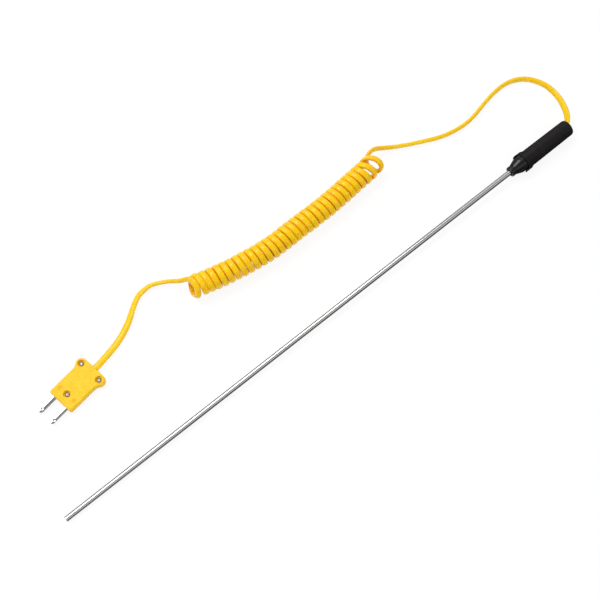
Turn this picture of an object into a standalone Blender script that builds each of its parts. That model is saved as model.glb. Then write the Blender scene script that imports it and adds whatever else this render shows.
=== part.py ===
"""Handheld thermocouple probe with a curly cord and a flat two-blade plug, as it lies on a table.

The sheath's tip points along -X and its handle along +X, +Z is up, and the table is at Z = 0. The
origin is on the table, under the middle of the sheath and handle. The cord lies on the +Y side.
Everything on the probe's own axis is modelled along local +X from the tip, and is then laid down
with its tip and the front of its grip on the table. The plug is modelled in a frame of its own.
"""

import math

import bmesh
import bpy
import numpy as np
from mathutils import Vector

MM = 0.001

# Clearances between pieces
SLIDE_FIT = 0.2 * MM
SEAM = 0.3 * MM
TIGHT_FIT = 0.1 * MM

# Sheath: a drawn tube, closed and cut square at its tip
SHEATH_DIAMETER = 3.0 * MM
SHEATH_WALL = 0.4 * MM
SHEATH_TIP_WALL = 1.0 * MM
SHEATH_SHOWN = 301.0 * MM
SHEATH_HELD = 11.0 * MM
TIP_CHAMFER = 0.12 * MM

# Thermocouple inside the sheath
WIRE_DIAMETER = 0.35 * MM
WIRE_SPACING = 0.8 * MM
WIRE_HOLE_DIAMETER = 0.5 * MM
BEAD_DIAMETER = 1.3 * MM
INSULATOR_BACK = 3.0 * MM

# Nose of the handle
NOSE_RING_DIAMETER = 6.0 * MM
NOSE_RING_LENGTH = 2.0 * MM
NOSE_RING_ROUND = 0.5 * MM
NOSE_NECK_DIAMETER = 5.4 * MM
NOSE_NECK_LENGTH = 0.5 * MM
NOSE_CONE_FRONT_DIAMETER = 6.1 * MM
NOSE_CONE_LENGTH = 4.4 * MM
NOSE_BODY_DIAMETER = 9.3 * MM
NOSE_BODY_LENGTH = 2.6 * MM
SPIGOT_LENGTH = 7.5 * MM
SPIGOT_WALL = 0.8 * MM
NOSE_FRONT_WALL = 7.0 * MM

# Grip of the handle
GRIP_FRONT_DIAMETER = 10.0 * MM
GRIP_REAR_DIAMETER = 9.5 * MM
GRIP_LENGTH = 34.7 * MM
GRIP_WALL = 1.2 * MM
GRIP_FRONT_ROUND = 0.3 * MM
GRIP_REAR_ROUND = 1.5 * MM
GRIP_REAR_RIM = 1.0 * MM
MOUTH_LIP = 0.3 * MM
MOUTH_FLARE = 0.25 * MM
MOUTH_LIP_LENGTH = 1.9 * MM
EAR_REACH = 5.55 * MM
EAR_FORWARD = 2.35 * MM
EAR_BACK = 2.5 * MM
EAR_TAPER = 3.0 * MM
EAR_HEIGHT = 3.4 * MM
EAR_CORNER = 1.0 * MM
EAR_EDGE = 0.45 * MM

# Fittings inside the handle
FERRULE_LENGTH = 5.0 * MM
FERRULE_WALL = 0.8 * MM
SPLICE_LENGTH = 5.0 * MM
SPLICE_BORE = 1.1 * MM
SPLICE_WALL = 0.25 * MM
SPLICE_SPACING = 2.0 * MM
SPLICE_SETBACK = 9.0 * MM
CORE_DIAMETER = 0.7 * MM
CORE_SPACING = 1.3 * MM
CORE_BARE = 6.0 * MM
BUSH_LENGTH = 7.0 * MM
BUSH_HOLE = 4.2 * MM
BUSH_SETBACK = 10.0 * MM

# Cord: two cores side by side in one flat jacket, wound into a curly stretch
CORD_WIDTH = 3.7 * MM
CORD_THICKNESS = 2.3 * MM
CORD_POINT_STEP = 5.0 * MM
COIL_DIAMETER = 13.0 * MM
COIL_POINT_STEP = 8.0 * MM
COIL_LIFT = 0.05 * MM
LEAD_ON_COIL_SIDE = 4.4 * MM
LEAD_ON_COIL_HEIGHT = 2.2 * MM
LEAD_STRAIGHT = 1.6 * MM

# Plug: two moulded shells that clamp the blades and the cord
PLUG_LENGTH = 24.7 * MM
PLUG_WIDTH = 15.8 * MM
PLUG_THICKNESS = 4.7 * MM
PLUG_AZIMUTH = math.radians(8.5)
PLUG_CORNER = 1.3 * MM
PLUG_TOP_ROUND = 0.8 * MM
PLUG_BOTTOM_ROUND = 1.0 * MM
PLUG_PARTING = 0.2 * MM
PLUG_WALL = 0.8 * MM
PLUG_EAR_RADIUS = 3.15 * MM
PLUG_EAR_SIDE = 6.55 * MM
PLUG_EAR_BLEND = 5.0 * MM
POCKET_FRONT = 8.6 * MM
POCKET_LENGTH = 8.4 * MM
POCKET_WIDTH = 12.6 * MM
LOWER_POCKET_WIDTH = 5.0 * MM
POCKET_CORNER = 0.8 * MM
CHANNEL_CLEARANCE = 0.25 * MM
CORD_IN_PLUG = 5.0 * MM
MARK_LENGTH = 2.5 * MM
MARK_WIDTH = 1.5 * MM
MARK_DEPTH = 0.25 * MM
MARK_FRONT = 5.1 * MM
MARK_SIDE = 5.3 * MM

# Blades and their terminal screws
BLADE_THICKNESS = 0.8 * MM
BLADE_REACH = 10.8 * MM
BLADE_HELD = 13.0 * MM
BLADE_SPACING = 9.0 * MM
WIDE_BLADE_WIDTH = 3.1 * MM
NARROW_BLADE_WIDTH = 2.3 * MM
BLADE_EDGE = 0.12 * MM
DIMPLE_BACK = 2.0 * MM
DIMPLE_DIAMETER = 1.4 * MM
DIMPLE_DEPTH = 0.2 * MM
TERMINAL_FRONT = 11.0 * MM
TERMINAL_HEAD_DIAMETER = 2.8 * MM
TERMINAL_HEAD_HEIGHT = 0.8 * MM
TERMINAL_SHANK_LENGTH = 1.9 * MM

# Cover screws and their nuts
SCREW_SHANK_DIAMETER = 1.5 * MM
SCREW_HEAD_DIAMETER = 2.5 * MM
SCREW_HEAD_HEIGHT = 0.8 * MM
SCREW_WELL_DIAMETER = 3.9 * MM
SCREW_WELL_DEPTH = 1.3 * MM
FRONT_SCREW_FRONT = 5.3 * MM
CROSS_LENGTH = 1.5 * MM
CROSS_WIDTH = 0.35 * MM
CROSS_DEPTH = 0.35 * MM
NUT_ACROSS_FLATS = 2.8 * MM
NUT_HEIGHT = 1.2 * MM
NUT_LIFT = 0.3 * MM

# The cord's route, in millimetres from the middle of the handle's mouth, on the table: X, Y and
# the height of the middle of the jacket, then how far it is turned from standing on its edge
# towards lying flat, in degrees.
UPPER_ROUTE = (
    (-12.5, 0.0, 5.1, 0),
    (-9.0, 0.0, 5.1, 0),
    (-5.0, 0.15, 5.1, 3),
    (-2.0, 0.75, 5.1, 8),
    (1.2, 2.0, 5.1, 18),
    (4.5, 4.6, 4.7, 33),
    (7.9, 9.2, 3.7, 45),
    (10.1, 13.8, 2.9, 46),
    (11.6, 18.7, 2.3, 42),
    (12.0, 23.5, 2.0, 37),
    (11.6, 28.2, 1.9, 31),
    (10.0, 32.5, 1.9, 25),
    (7.7, 36.4, 1.9, 19),
    (4.5, 39.8, 1.9, 16),
    (0.5, 42.2, 1.9, 13),
    (-4.0, 43.7, 1.9, 12),
    (-8.9, 44.2, 1.9, 11),
    (-19.0, 43.3, 1.9, 7),
    (-29.2, 41.1, 1.9, 3),
    (-39.1, 39.4, 1.9, 0),
    (-49.0, 39.9, 1.9, 0),
    (-58.3, 42.1, 1.9, 0),
    (-66.7, 45.7, 1.9, 0),
    (-74.8, 49.6, 1.9, 2),
    (-83.0, 53.9, 2.0, 5),
    (-87.3, 55.9, 2.4, 8),
    (-91.5, 57.3, 3.6, 8),
    (-95.5, 57.5, 6.0, 4),
)
COIL_ROUTE = (
    (-100.1, 51.7),
    (-105.0, 51.0),
    (-116.5, 50.0),
    (-130.1, 48.8),
    (-144.0, 48.2),
    (-158.5, 48.2),
    (-175.5, 48.0),
    (-191.3, 49.7),
    (-207.1, 52.6),
    (-221.2, 56.3),
    (-224.2, 57.1),
)
LOWER_ROUTE = (
    (-226.4, 64.1, 6.6, 6),
    (-229.2, 67.3, 4.4, 12),
    (-232.2, 70.0, 2.8, 20),
    (-235.7, 72.2, 2.0, 27),
    (-239.6, 73.6, 1.85, 37),
    (-243.8, 73.6, 1.7, 50),
    (-247.9, 72.8, 1.65, 52),
    (-251.8, 70.6, 1.65, 51),
    (-255.4, 68.1, 1.65, 53),
    (-258.9, 65.4, 1.55, 65),
    (-262.5, 63.1, 1.45, 78),
    (-266.4, 61.0, 1.4, 82),
    (-270.4, 59.3, 1.4, 84),
    (-274.4, 57.9, 1.5, 86),
    (-278.4, 56.7, 1.8, 88),
    (-282.5, 55.7, 2.1, 89),
)
PLUG_REAR = (-289.1, 54.3)

# Values worked out from those above
SHEATH_RADIUS = SHEATH_DIAMETER / 2
SHEATH_BORE_RADIUS = SHEATH_RADIUS - SHEATH_WALL
SHEATH_END = SHEATH_SHOWN + SHEATH_HELD
NOSE_START = SHEATH_SHOWN
CONE_START = NOSE_START + NOSE_RING_LENGTH + NOSE_NECK_LENGTH
NOSE_BODY_START = CONE_START + NOSE_CONE_LENGTH
NOSE_SHOULDER = NOSE_BODY_START + NOSE_BODY_LENGTH
SPIGOT_END = NOSE_SHOULDER + SPIGOT_LENGTH
GRIP_START = NOSE_SHOULDER + SEAM
GRIP_END = GRIP_START + GRIP_LENGTH
GRIP_BORE_RADIUS = GRIP_REAR_DIAMETER / 2 - GRIP_WALL
MOUTH_RADIUS = GRIP_BORE_RADIUS - MOUTH_LIP
SPIGOT_RADIUS = GRIP_BORE_RADIUS - SLIDE_FIT
SPIGOT_BORE_RADIUS = SPIGOT_RADIUS - SPIGOT_WALL
FERRULE_START = NOSE_START + NOSE_FRONT_WALL + SEAM
BUSH_END = GRIP_END - BUSH_SETBACK
BUSH_START = BUSH_END - BUSH_LENGTH
SPLICE_START = SHEATH_END + SPLICE_SETBACK
SPLICE_END = SPLICE_START + SPLICE_LENGTH
COIL_RADIUS = COIL_DIAMETER / 2
PLUG_MIDDLE = PLUG_THICKNESS / 2
EAR_FRONT = PLUG_LENGTH - PLUG_EAR_RADIUS
POCKET_REAR = POCKET_FRONT + POCKET_LENGTH
SCREW_HOLE_DIAMETER = SCREW_SHANK_DIAMETER + 2 * SLIDE_FIT
WELL_FLOOR = PLUG_THICKNESS - SCREW_WELL_DEPTH
LAY_ANGLE = math.asin((GRIP_FRONT_DIAMETER / 2 - SHEATH_RADIUS) / GRIP_START)


def clear_scene():
    """Removes whatever the file holds at the start."""
    for thing in list(bpy.data.objects):
        bpy.data.objects.remove(thing, do_unlink=True)


def make_material(name, colour, roughness, metallic=0.0):
    """A Principled BSDF in one colour."""
    material = bpy.data.materials.new(name)
    material.use_nodes = True
    shader = material.node_tree.nodes["Principled BSDF"]
    shader.inputs["Base Color"].default_value = (*colour, 1.0)
    shader.inputs["Roughness"].default_value = roughness
    shader.inputs["Metallic"].default_value = metallic
    return material


def add_object(name, data, material, parent):
    """Puts a mesh or a curve in the scene under its parent."""
    data.materials.append(material)
    thing = bpy.data.objects.new(name, data)
    thing.parent = parent
    bpy.context.scene.collection.objects.link(thing)
    return thing


def add_frame(name, location, rotation):
    """An empty that other pieces are placed under."""
    frame = bpy.data.objects.new(name, None)
    frame.location = location
    frame.rotation_euler = rotation
    bpy.context.scene.collection.objects.link(frame)
    return frame


def finish_mesh(shape, name, smooth=True):
    """Turns a bmesh into a mesh with its faces out and its round stretches smooth."""
    bmesh.ops.remove_doubles(shape, verts=shape.verts, dist=1e-7)
    bmesh.ops.recalc_face_normals(shape, faces=shape.faces)
    mesh = bpy.data.meshes.new(name)
    shape.to_mesh(mesh)
    shape.free()
    if smooth:
        mesh.shade_smooth()
        mesh.set_sharp_from_angle(angle=math.radians(35))
    return mesh


def turned(name, profile, steps=32):
    """A mesh turned about X from (x, radius) points. With no point on the axis it is a ring."""
    shape = bmesh.new()
    points = [shape.verts.new((x, 0.0, radius)) for x, radius in profile]
    pairs = list(zip(points, points[1:]))
    if min(radius for _, radius in profile) > 0:
        pairs.append((points[-1], points[0]))
    edges = [shape.edges.new(pair) for pair in pairs]
    bmesh.ops.spin(
        shape,
        geom=points + edges,
        cent=(0, 0, 0),
        axis=(1, 0, 0),
        angle=math.tau,
        steps=steps,
        use_merge=True,
    )
    return finish_mesh(shape, name)


def prism(outline, bottom, top):
    """A bmesh with the outline of (x, y) points as its floor and its lid."""
    shape = bmesh.new()
    floor = shape.faces.new([shape.verts.new((x, y, bottom)) for x, y in outline])
    grown = bmesh.ops.extrude_face_region(shape, geom=[floor])
    lid = [item for item in grown["geom"] if isinstance(item, bmesh.types.BMVert)]
    bmesh.ops.translate(shape, verts=lid, vec=(0, 0, top - bottom))
    bmesh.ops.recalc_face_normals(shape, faces=shape.faces)
    return shape


def round_level(shape, height, radius, segments=3):
    """Rounds the edges of a prism that lie at one height."""
    level = [
        edge
        for edge in shape.edges
        if all(abs(vert.co.z - height) < 1e-7 for vert in edge.verts)
    ]
    bmesh.ops.bevel(
        shape, geom=level, offset=radius, segments=segments, profile=0.5, affect="EDGES", clamp_overlap=True
    )


def arc(centre_x, centre_y, radius, start, end, steps):
    """Points on an arc, both ends included, with angles in degrees."""
    return [
        (centre_x + radius * math.cos(angle), centre_y + radius * math.sin(angle))
        for angle in (math.radians(start + (end - start) * i / steps) for i in range(steps + 1))
    ]


def rounded_rectangle(x_low, x_high, half_width, corner, steps=3):
    """An outline, anticlockwise, with four equal corners."""
    side = half_width - corner
    return (
        arc(x_high - corner, side, corner, 0, 90, steps)
        + arc(x_low + corner, side, corner, 90, 180, steps)
        + arc(x_low + corner, -side, corner, 180, 270, steps)
        + arc(x_high - corner, -side, corner, 270, 360, steps)
    )


def rectangle(x_low, x_high, y, half_width):
    """An outline, anticlockwise, with square corners and its middle at y."""
    low, high = y - half_width, y + half_width
    return [(x_low, low), (x_high, low), (x_high, high), (x_low, high)]


def cylinder_between(x, y, bottom, top, diameter, steps=16, turn=0.0):
    """An upright cylinder, or a hexagonal bar with six steps, as a bmesh."""
    circle = arc(x, y, diameter / 2, turn, turn + 360, steps)[:-1]
    return prism(circle, bottom, top)


def cutter(name, shape, parent):
    """A hidden helper that a Boolean uses."""
    helper = bpy.data.objects.new(name, finish_mesh(shape, name, smooth=False))
    helper.parent = parent
    helper.hide_render = True
    helper.display_type = "WIRE"
    bpy.context.scene.collection.objects.link(helper)
    return helper


def combine(target, helper, operation="DIFFERENCE"):
    """Adds one exact Boolean."""
    step = target.modifiers.new(helper.name, "BOOLEAN")
    step.operation = operation
    step.solver = "EXACT"
    step.object = helper


def smooth_route(points, step):
    """Reads evenly spaced points from a natural cubic spline through the given ones.

    The spline runs over the length of the straight lines between the points. Its second
    derivatives come from one tridiagonal system.
    """
    given = np.array(points, float)
    knots = np.concatenate([[0.0], np.cumsum(np.linalg.norm(np.diff(given[:, :2], axis=0), axis=1))])
    gaps = np.diff(knots)[:, None]
    slopes = np.diff(given, axis=0) / gaps
    count = len(given)
    system = np.eye(count)
    right = np.zeros_like(given)
    for i in range(1, count - 1):
        before, after = gaps[i - 1, 0], gaps[i, 0]
        system[i, i - 1 : i + 2] = before, 2 * (before + after), after
        right[i] = 6 * (slopes[i] - slopes[i - 1])
    bends = np.linalg.solve(system, right)
    places = np.linspace(0, knots[-1], max(2, round(knots[-1] / step)) + 1)
    index = np.clip(np.searchsorted(knots, places, side="right") - 1, 0, count - 2)
    gap = gaps[index]
    past = (places - knots[index])[:, None]
    left = gap - past
    return (
        bends[index] * left**3 / (6 * gap)
        + bends[index + 1] * past**3 / (6 * gap)
        + (given[index] / gap - bends[index] * gap / 6) * left
        + (given[index + 1] / gap - bends[index + 1] * gap / 6) * past
    )


def curve_tube(name, points, thickness, material, parent, width=None, tilts=None, resolution=2):
    """A tube along points, with filled ends. A width over the thickness makes it flat."""
    data = bpy.data.curves.new(name, "CURVE")
    data.dimensions = "3D"
    data.twist_mode = "Z_UP"
    data.fill_mode = "FULL"
    data.use_fill_caps = True
    data.bevel_depth = thickness / 2
    data.bevel_resolution = resolution
    data.extrude = 0.0 if width is None else (width - thickness) / 2
    spline = data.splines.new("POLY")
    spline.points.add(len(points) - 1)
    for i, point in enumerate(points):
        spline.points[i].co = (*point, 1.0)
        if tilts is not None:
            spline.points[i].tilt = tilts[i]
    return add_object(name, data, material, parent)


def screw_mesh(name, head_diameter, head_height, shank_length, shank_diameter, head_floor):
    """A pan-headed screw along Z: its head stands on head_floor and its shank hangs below."""
    head = head_diameter / 2
    shank = shank_diameter / 2
    rim = 0.25 * head_height
    profile = [(head_floor - shank_length, 0.0), (head_floor - shank_length, shank), (head_floor, shank)]
    profile += [(head_floor, head), (head_floor + rim, head)]
    dome = arc(0.0, 0.0, 1.0, 0, 90, 4)[1:]
    profile += [(head_floor + rim + (head_height - rim) * up, head * across) for across, up in dome[:-1]]
    profile += [(head_floor + head_height, 0.0)]
    mesh = turned(name, profile, steps=16)
    for vert in mesh.vertices:
        along, side, up = vert.co
        vert.co = (up, side, along)
    mesh.flip_normals()
    return mesh


def build_sheath(probe, finishes):
    """The closed tube, with the thermocouple in a two-hole insulator inside it."""
    face = SHEATH_RADIUS - TIP_CHAMFER
    profile = [
        (0.0, 0.0),
        (0.0, face),
        (TIP_CHAMFER, SHEATH_RADIUS),
        (SHEATH_END, SHEATH_RADIUS),
        (SHEATH_END, SHEATH_BORE_RADIUS),
        (SHEATH_TIP_WALL, SHEATH_BORE_RADIUS),
        (SHEATH_TIP_WALL, 0.0),
    ]
    add_object("probe_sheath", turned("probe_sheath", profile), finishes["steel"], probe)

    bead = BEAD_DIAMETER / 2
    bead_x = SHEATH_TIP_WALL + SLIDE_FIT + bead
    ball = [(bead_x - bead * across, bead * up) for across, up in arc(0, 0, 1, 0, 180, 8)]
    ball[0] = (ball[0][0], 0.0)
    ball[-1] = (ball[-1][0], 0.0)
    bead_mesh = turned("measuring_junction", ball, steps=12)
    add_object("measuring_junction", bead_mesh, finishes["nickel"], probe)

    fill_radius = SHEATH_BORE_RADIUS - SLIDE_FIT
    front = bead_x + bead + SLIDE_FIT
    back = SHEATH_END - SEAM
    rod = [(front, 0.0), (front, fill_radius), (back, fill_radius), (back, 0.0)]
    insulator_mesh = turned("two_hole_insulator", rod, steps=20)
    insulator = add_object("two_hole_insulator", insulator_mesh, finishes["ceramic"], probe)
    for side, polarity in ((1, "negative"), (-1, "positive")):
        y = side * WIRE_SPACING / 2
        ring = arc(y, 0.0, WIRE_HOLE_DIAMETER / 2, 0, 360, 8)[:-1]
        hole = prism(ring, front - SEAM, SHEATH_END)
        for vert in hole.verts:
            across, up, along = vert.co
            vert.co = (along, across, up)
        combine(insulator, cutter("insulator_hole_" + polarity, hole, probe))
        splice_y = side * SPLICE_SPACING / 2
        wire = [
            (front - SLIDE_FIT / 2, y, 0.0),
            (SHEATH_END + 1.0 * MM, y, 0.0),
            (SPLICE_START - 2.0 * MM, splice_y, 0.0),
            (SPLICE_START + SPLICE_LENGTH / 2 - SEAM, splice_y, 0.0),
        ]
        curve_tube(polarity + "_wire", wire, WIRE_DIAMETER, finishes["nickel"], probe)


def build_nose(probe, finishes):
    """The nose cap with its ring, neck and cone, and the ferrule crimped on the sheath in it."""
    ring = NOSE_RING_DIAMETER / 2
    neck = NOSE_NECK_DIAMETER / 2
    body = NOSE_BODY_DIAMETER / 2
    hole = SHEATH_RADIUS + SLIDE_FIT
    ring_end = NOSE_START + NOSE_RING_LENGTH
    front_round = arc(NOSE_START + NOSE_RING_ROUND, ring - NOSE_RING_ROUND, NOSE_RING_ROUND, 180, 90, 4)
    back_round = arc(ring_end - NOSE_RING_ROUND, ring - NOSE_RING_ROUND, NOSE_RING_ROUND, 90, 0, 3)
    counterbore = NOSE_START + NOSE_FRONT_WALL
    profile = [(NOSE_START, hole + SLIDE_FIT), *front_round, *back_round]
    profile += [(ring_end, neck), (CONE_START, neck), (CONE_START, NOSE_CONE_FRONT_DIAMETER / 2)]
    shoulder_round = 0.15 * NOSE_CONE_LENGTH
    profile += [
        (NOSE_BODY_START - shoulder_round, body - shoulder_round * 0.72),
        (NOSE_BODY_START, body - 0.03 * body),
        (NOSE_BODY_START + shoulder_round, body),
        (NOSE_SHOULDER, body),
        (NOSE_SHOULDER, SPIGOT_RADIUS),
        (SPIGOT_END, SPIGOT_RADIUS),
        (SPIGOT_END, SPIGOT_BORE_RADIUS),
        (counterbore, SPIGOT_BORE_RADIUS),
        (counterbore, hole),
        (NOSE_START + SEAM, hole),
    ]
    add_object("nose_cap", turned("nose_cap", profile, steps=36), finishes["black_plastic"], probe)

    inner = SHEATH_RADIUS + TIGHT_FIT
    outer = min(inner + FERRULE_WALL, SPIGOT_BORE_RADIUS - SLIDE_FIT)
    end = FERRULE_START + FERRULE_LENGTH
    middle = (FERRULE_START + end) / 2
    crimp = 0.3 * FERRULE_LENGTH
    squeeze = 0.2 * (outer - inner)
    ferrule = [
        (FERRULE_START, outer),
        (middle - crimp, outer),
        (middle - crimp / 2, outer - squeeze),
        (middle + crimp / 2, outer - squeeze),
        (middle + crimp, outer),
        (end, outer),
        (end, inner),
        (FERRULE_START, inner),
    ]
    add_object("sheath_ferrule", turned("sheath_ferrule", ferrule, steps=24), finishes["brass"], probe)


def grip_ears(half_height):
    """Both finger ears as one bar across the grip, with its outline in plan."""
    front = GRIP_START - EAR_FORWARD
    back = GRIP_START + EAR_BACK
    tail = back + EAR_TAPER
    base = GRIP_FRONT_DIAMETER / 2 - 0.6 * MM
    side = (
        arc(front + EAR_CORNER, EAR_REACH - EAR_CORNER, EAR_CORNER, 180, 90, 3)
        + [(back, EAR_REACH)]
        + [(back + EAR_TAPER * t, base + (EAR_REACH - base) * (1 - t) ** 1.5) for t in (0.33, 0.66)]
        + [(tail, base)]
    )
    outline = side + [(x, -y) for x, y in reversed(side)]
    shape = prism(outline, -half_height, half_height)
    rim = [
        edge
        for edge in shape.edges
        if abs(abs(edge.verts[0].co.z) - half_height) < 1e-7
        and abs(edge.verts[0].co.z - edge.verts[1].co.z) < 1e-7
        and min(abs(vert.co.y) for vert in edge.verts) > base - 1e-6
    ]
    bmesh.ops.bevel(shape, geom=rim, offset=EAR_EDGE, segments=2, profile=0.5, affect="EDGES")
    return shape


def build_grip(probe, finishes):
    """The hollow grip: a tapered tube with two ears in front and a rounded mouth behind."""
    front = GRIP_FRONT_DIAMETER / 2
    rear = GRIP_REAR_DIAMETER / 2
    lip_start = GRIP_END - MOUTH_LIP_LENGTH
    inner_round = 0.3 * MOUTH_LIP_LENGTH
    front_round = arc(GRIP_START + GRIP_FRONT_ROUND, front - GRIP_FRONT_ROUND, GRIP_FRONT_ROUND, 180, 90, 3)
    outer_round = [
        (GRIP_END - GRIP_REAR_ROUND * (1 - across), rear - GRIP_REAR_RIM * (1 - up))
        for across, up in arc(0.0, 0.0, 1.0, 90, 0, 5)
    ]
    tube = [
        *front_round,
        *outer_round,
        (GRIP_END, MOUTH_RADIUS + MOUTH_FLARE),
        (GRIP_END - MOUTH_FLARE, MOUTH_RADIUS),
        (lip_start + inner_round, MOUTH_RADIUS),
        (lip_start, GRIP_BORE_RADIUS),
        (GRIP_START, GRIP_BORE_RADIUS),
    ]
    grip = add_object("handle_grip", turned("handle_grip", tube, steps=40), finishes["black_plastic"], probe)

    nose_room = NOSE_BODY_DIAMETER / 2 + SEAM
    inside_wall = (GRIP_BORE_RADIUS + front) / 2
    ahead = GRIP_START - EAR_FORWARD - SEAM
    step = GRIP_START + SEAM / 2
    behind = GRIP_START + EAR_BACK + EAR_TAPER + SEAM
    room = [
        (ahead, 0.0),
        (ahead, nose_room),
        (step, nose_room),
        (step, inside_wall),
        (behind, inside_wall),
        (behind, 0.0),
    ]
    shape = bmesh.new()
    shape.from_mesh(turned("ear_room", room, steps=36))
    ears = cutter("grip_ears", grip_ears(EAR_HEIGHT / 2), probe)
    combine(ears, cutter("ear_room", shape, probe))
    combine(grip, ears, "UNION")


def build_handle_fittings(probe, finishes):
    """Splices between the thermocouple's wires and the cord's cores, and the bush round the cord."""
    bore = SPLICE_BORE / 2
    outer = bore + SPLICE_WALL
    core_start = SPLICE_START + SPLICE_LENGTH / 2
    for side, polarity in ((1, "negative"), (-1, "positive")):
        y = side * SPLICE_SPACING / 2
        sleeve = [(SPLICE_START, outer), (SPLICE_END, outer), (SPLICE_END, bore), (SPLICE_START, bore)]
        splice = add_object(
            polarity + "_splice", turned(polarity + "_splice", sleeve, steps=14), finishes["brass"], probe
        )
        splice.location = (0.0, y, 0.0)
        core = [
            (core_start, y, 0.0),
            (SPLICE_END + 0.5 * MM, y, 0.0),
            (cord_start() - 2.0 * MM, side * CORE_SPACING / 2, 0.0),
            (cord_start() - SEAM, side * CORE_SPACING / 2, 0.0),
        ]
        curve_tube("handle_core_" + polarity, core, CORE_DIAMETER, finishes["core"], probe)

    outer = GRIP_BORE_RADIUS - SLIDE_FIT
    hole = BUSH_HOLE / 2
    edge = 0.4 * MM
    bush = [
        (BUSH_START, hole + edge),
        (BUSH_START, outer - edge),
        (BUSH_START + edge, outer),
        (BUSH_END - edge, outer),
        (BUSH_END, outer - edge),
        (BUSH_END, hole + edge),
        (BUSH_END - edge, hole),
        (BUSH_START + edge, hole),
    ]
    add_object("cord_bush", turned("cord_bush", bush, steps=28), finishes["rubber"], probe)


def cord_start():
    """Where the jacket ends inside the handle, along the probe's axis."""
    return GRIP_END + UPPER_ROUTE[0][0] * MM


def route_points(route, mouth):
    """The route's places in metres, with the jacket's turn in radians as a fourth number."""
    return [
        (mouth[0] + x * MM, mouth[1] + y * MM, z * MM, -math.radians(turn)) for x, y, z, turn in route
    ]


def coil_points(mouth):
    """The middle line of the curly stretch, on the table."""
    height = COIL_RADIUS + COIL_LIFT
    given = [(mouth[0] + x * MM, mouth[1] + y * MM, height) for x, y in COIL_ROUTE]
    return smooth_route(given, COIL_POINT_STEP)


def lead_seat(coil, end):
    """Where a lead meets an end face of the curly stretch: high up, on its far side."""
    tip, inner = (coil[0], coil[1]) if end == 0 else (coil[-1], coil[-2])
    outward = (tip - inner) / np.linalg.norm(tip - inner)
    far = np.array([-outward[1], outward[0], 0.0])
    far *= np.sign(far[1])
    return tip + outward * SEAM + far * LEAD_ON_COIL_SIDE + np.array([0, 0, LEAD_ON_COIL_HEIGHT]), outward


def build_lead(name, given, material):
    """A flat stretch of cord along a smooth curve through the given points.

    Its first and last stretches stay straight, so that its ends are square to them.
    """
    middle = smooth_route(given[1:-1], CORD_POINT_STEP)
    points = np.vstack([given[0], middle, given[-1]])
    return curve_tube(
        name, points[:, :3], CORD_THICKNESS, material, None, width=CORD_WIDTH, tilts=points[:, 3]
    )


def build_cord(mouth, plug, finishes):
    """The lead from the handle, the curly stretch as one fat tube, and the lead to the plug."""
    coil = coil_points(mouth)
    curve_tube("curly_cord", coil, COIL_DIAMETER, finishes["cord"], None, resolution=4)

    seat, outward = lead_seat(coil, 0)
    start = seat + outward * LEAD_STRAIGHT
    upper = route_points(UPPER_ROUTE, mouth) + [(*start, 0.0), (*seat, 0.0)]
    build_lead("upper_lead", upper, finishes["cord"])

    seat, outward = lead_seat(coil, 1)
    start = seat + outward * LEAD_STRAIGHT
    end = PLUG_LENGTH - CORD_IN_PLUG
    flat = -math.pi / 2
    entry = [
        (*(plug.matrix_world @ Vector((x, 0.0, PLUG_MIDDLE))), flat)
        for x in (PLUG_LENGTH + 1.5 * MM, PLUG_LENGTH - 1.0 * MM, end + 1.5 * MM, end)
    ]
    lower = [(*seat, 0.0), (*start, 0.0)] + route_points(LOWER_ROUTE, mouth) + entry
    build_lead("lower_lead", lower, finishes["cord"])


def plug_outline(corner_steps=4):
    """The plug from above: straight sides that sweep out into two round ears at the rear.

    The sweep is an arc that touches the side and the ear's circle.
    """
    half = PLUG_WIDTH / 2
    rise = half + PLUG_EAR_BLEND - PLUG_EAR_SIDE
    reach = PLUG_EAR_RADIUS + PLUG_EAR_BLEND
    run = math.sqrt(reach**2 - rise**2)
    blend_x = EAR_FRONT - run
    touch = math.degrees(math.atan2(-rise, run))
    side = (
        arc(PLUG_CORNER, half - PLUG_CORNER, PLUG_CORNER, 180, 90, corner_steps)
        + arc(blend_x, half + PLUG_EAR_BLEND, PLUG_EAR_BLEND, -90, touch, 4)
        + arc(EAR_FRONT, PLUG_EAR_SIDE, PLUG_EAR_RADIUS, touch + 180, 0, 10)[1:]
    )
    return [(x, -y) for x, y in side] + [(x, y) for x, y in reversed(side)]


def screw_places():
    """Name and place of each cover screw in the plug's frame."""
    return (
        ("front", FRONT_SCREW_FRONT, 0.0),
        ("left", EAR_FRONT, PLUG_EAR_SIDE),
        ("right", EAR_FRONT, -PLUG_EAR_SIDE),
    )


def blade_list():
    """Name, side and width of each blade."""
    return (
        ("negative", BLADE_SPACING / 2, WIDE_BLADE_WIDTH),
        ("positive", -BLADE_SPACING / 2, NARROW_BLADE_WIDTH),
    )


def cord_channel(plug):
    """The cord's way into the plug: a flat round-sided hole between the shells."""
    half_height = CORD_THICKNESS / 2 + CHANNEL_CLEARANCE
    flat = (CORD_WIDTH - CORD_THICKNESS) / 2
    section = arc(flat, 0.0, half_height, -90, 90, 8) + arc(-flat, 0.0, half_height, 90, 270, 8)
    shape = prism(section, POCKET_REAR - POCKET_CORNER, PLUG_LENGTH + SEAM)
    for vert in shape.verts:
        across, up, along = vert.co
        vert.co = (along, across, up + PLUG_MIDDLE)
    return cutter("cord_channel", shape, plug)


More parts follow.
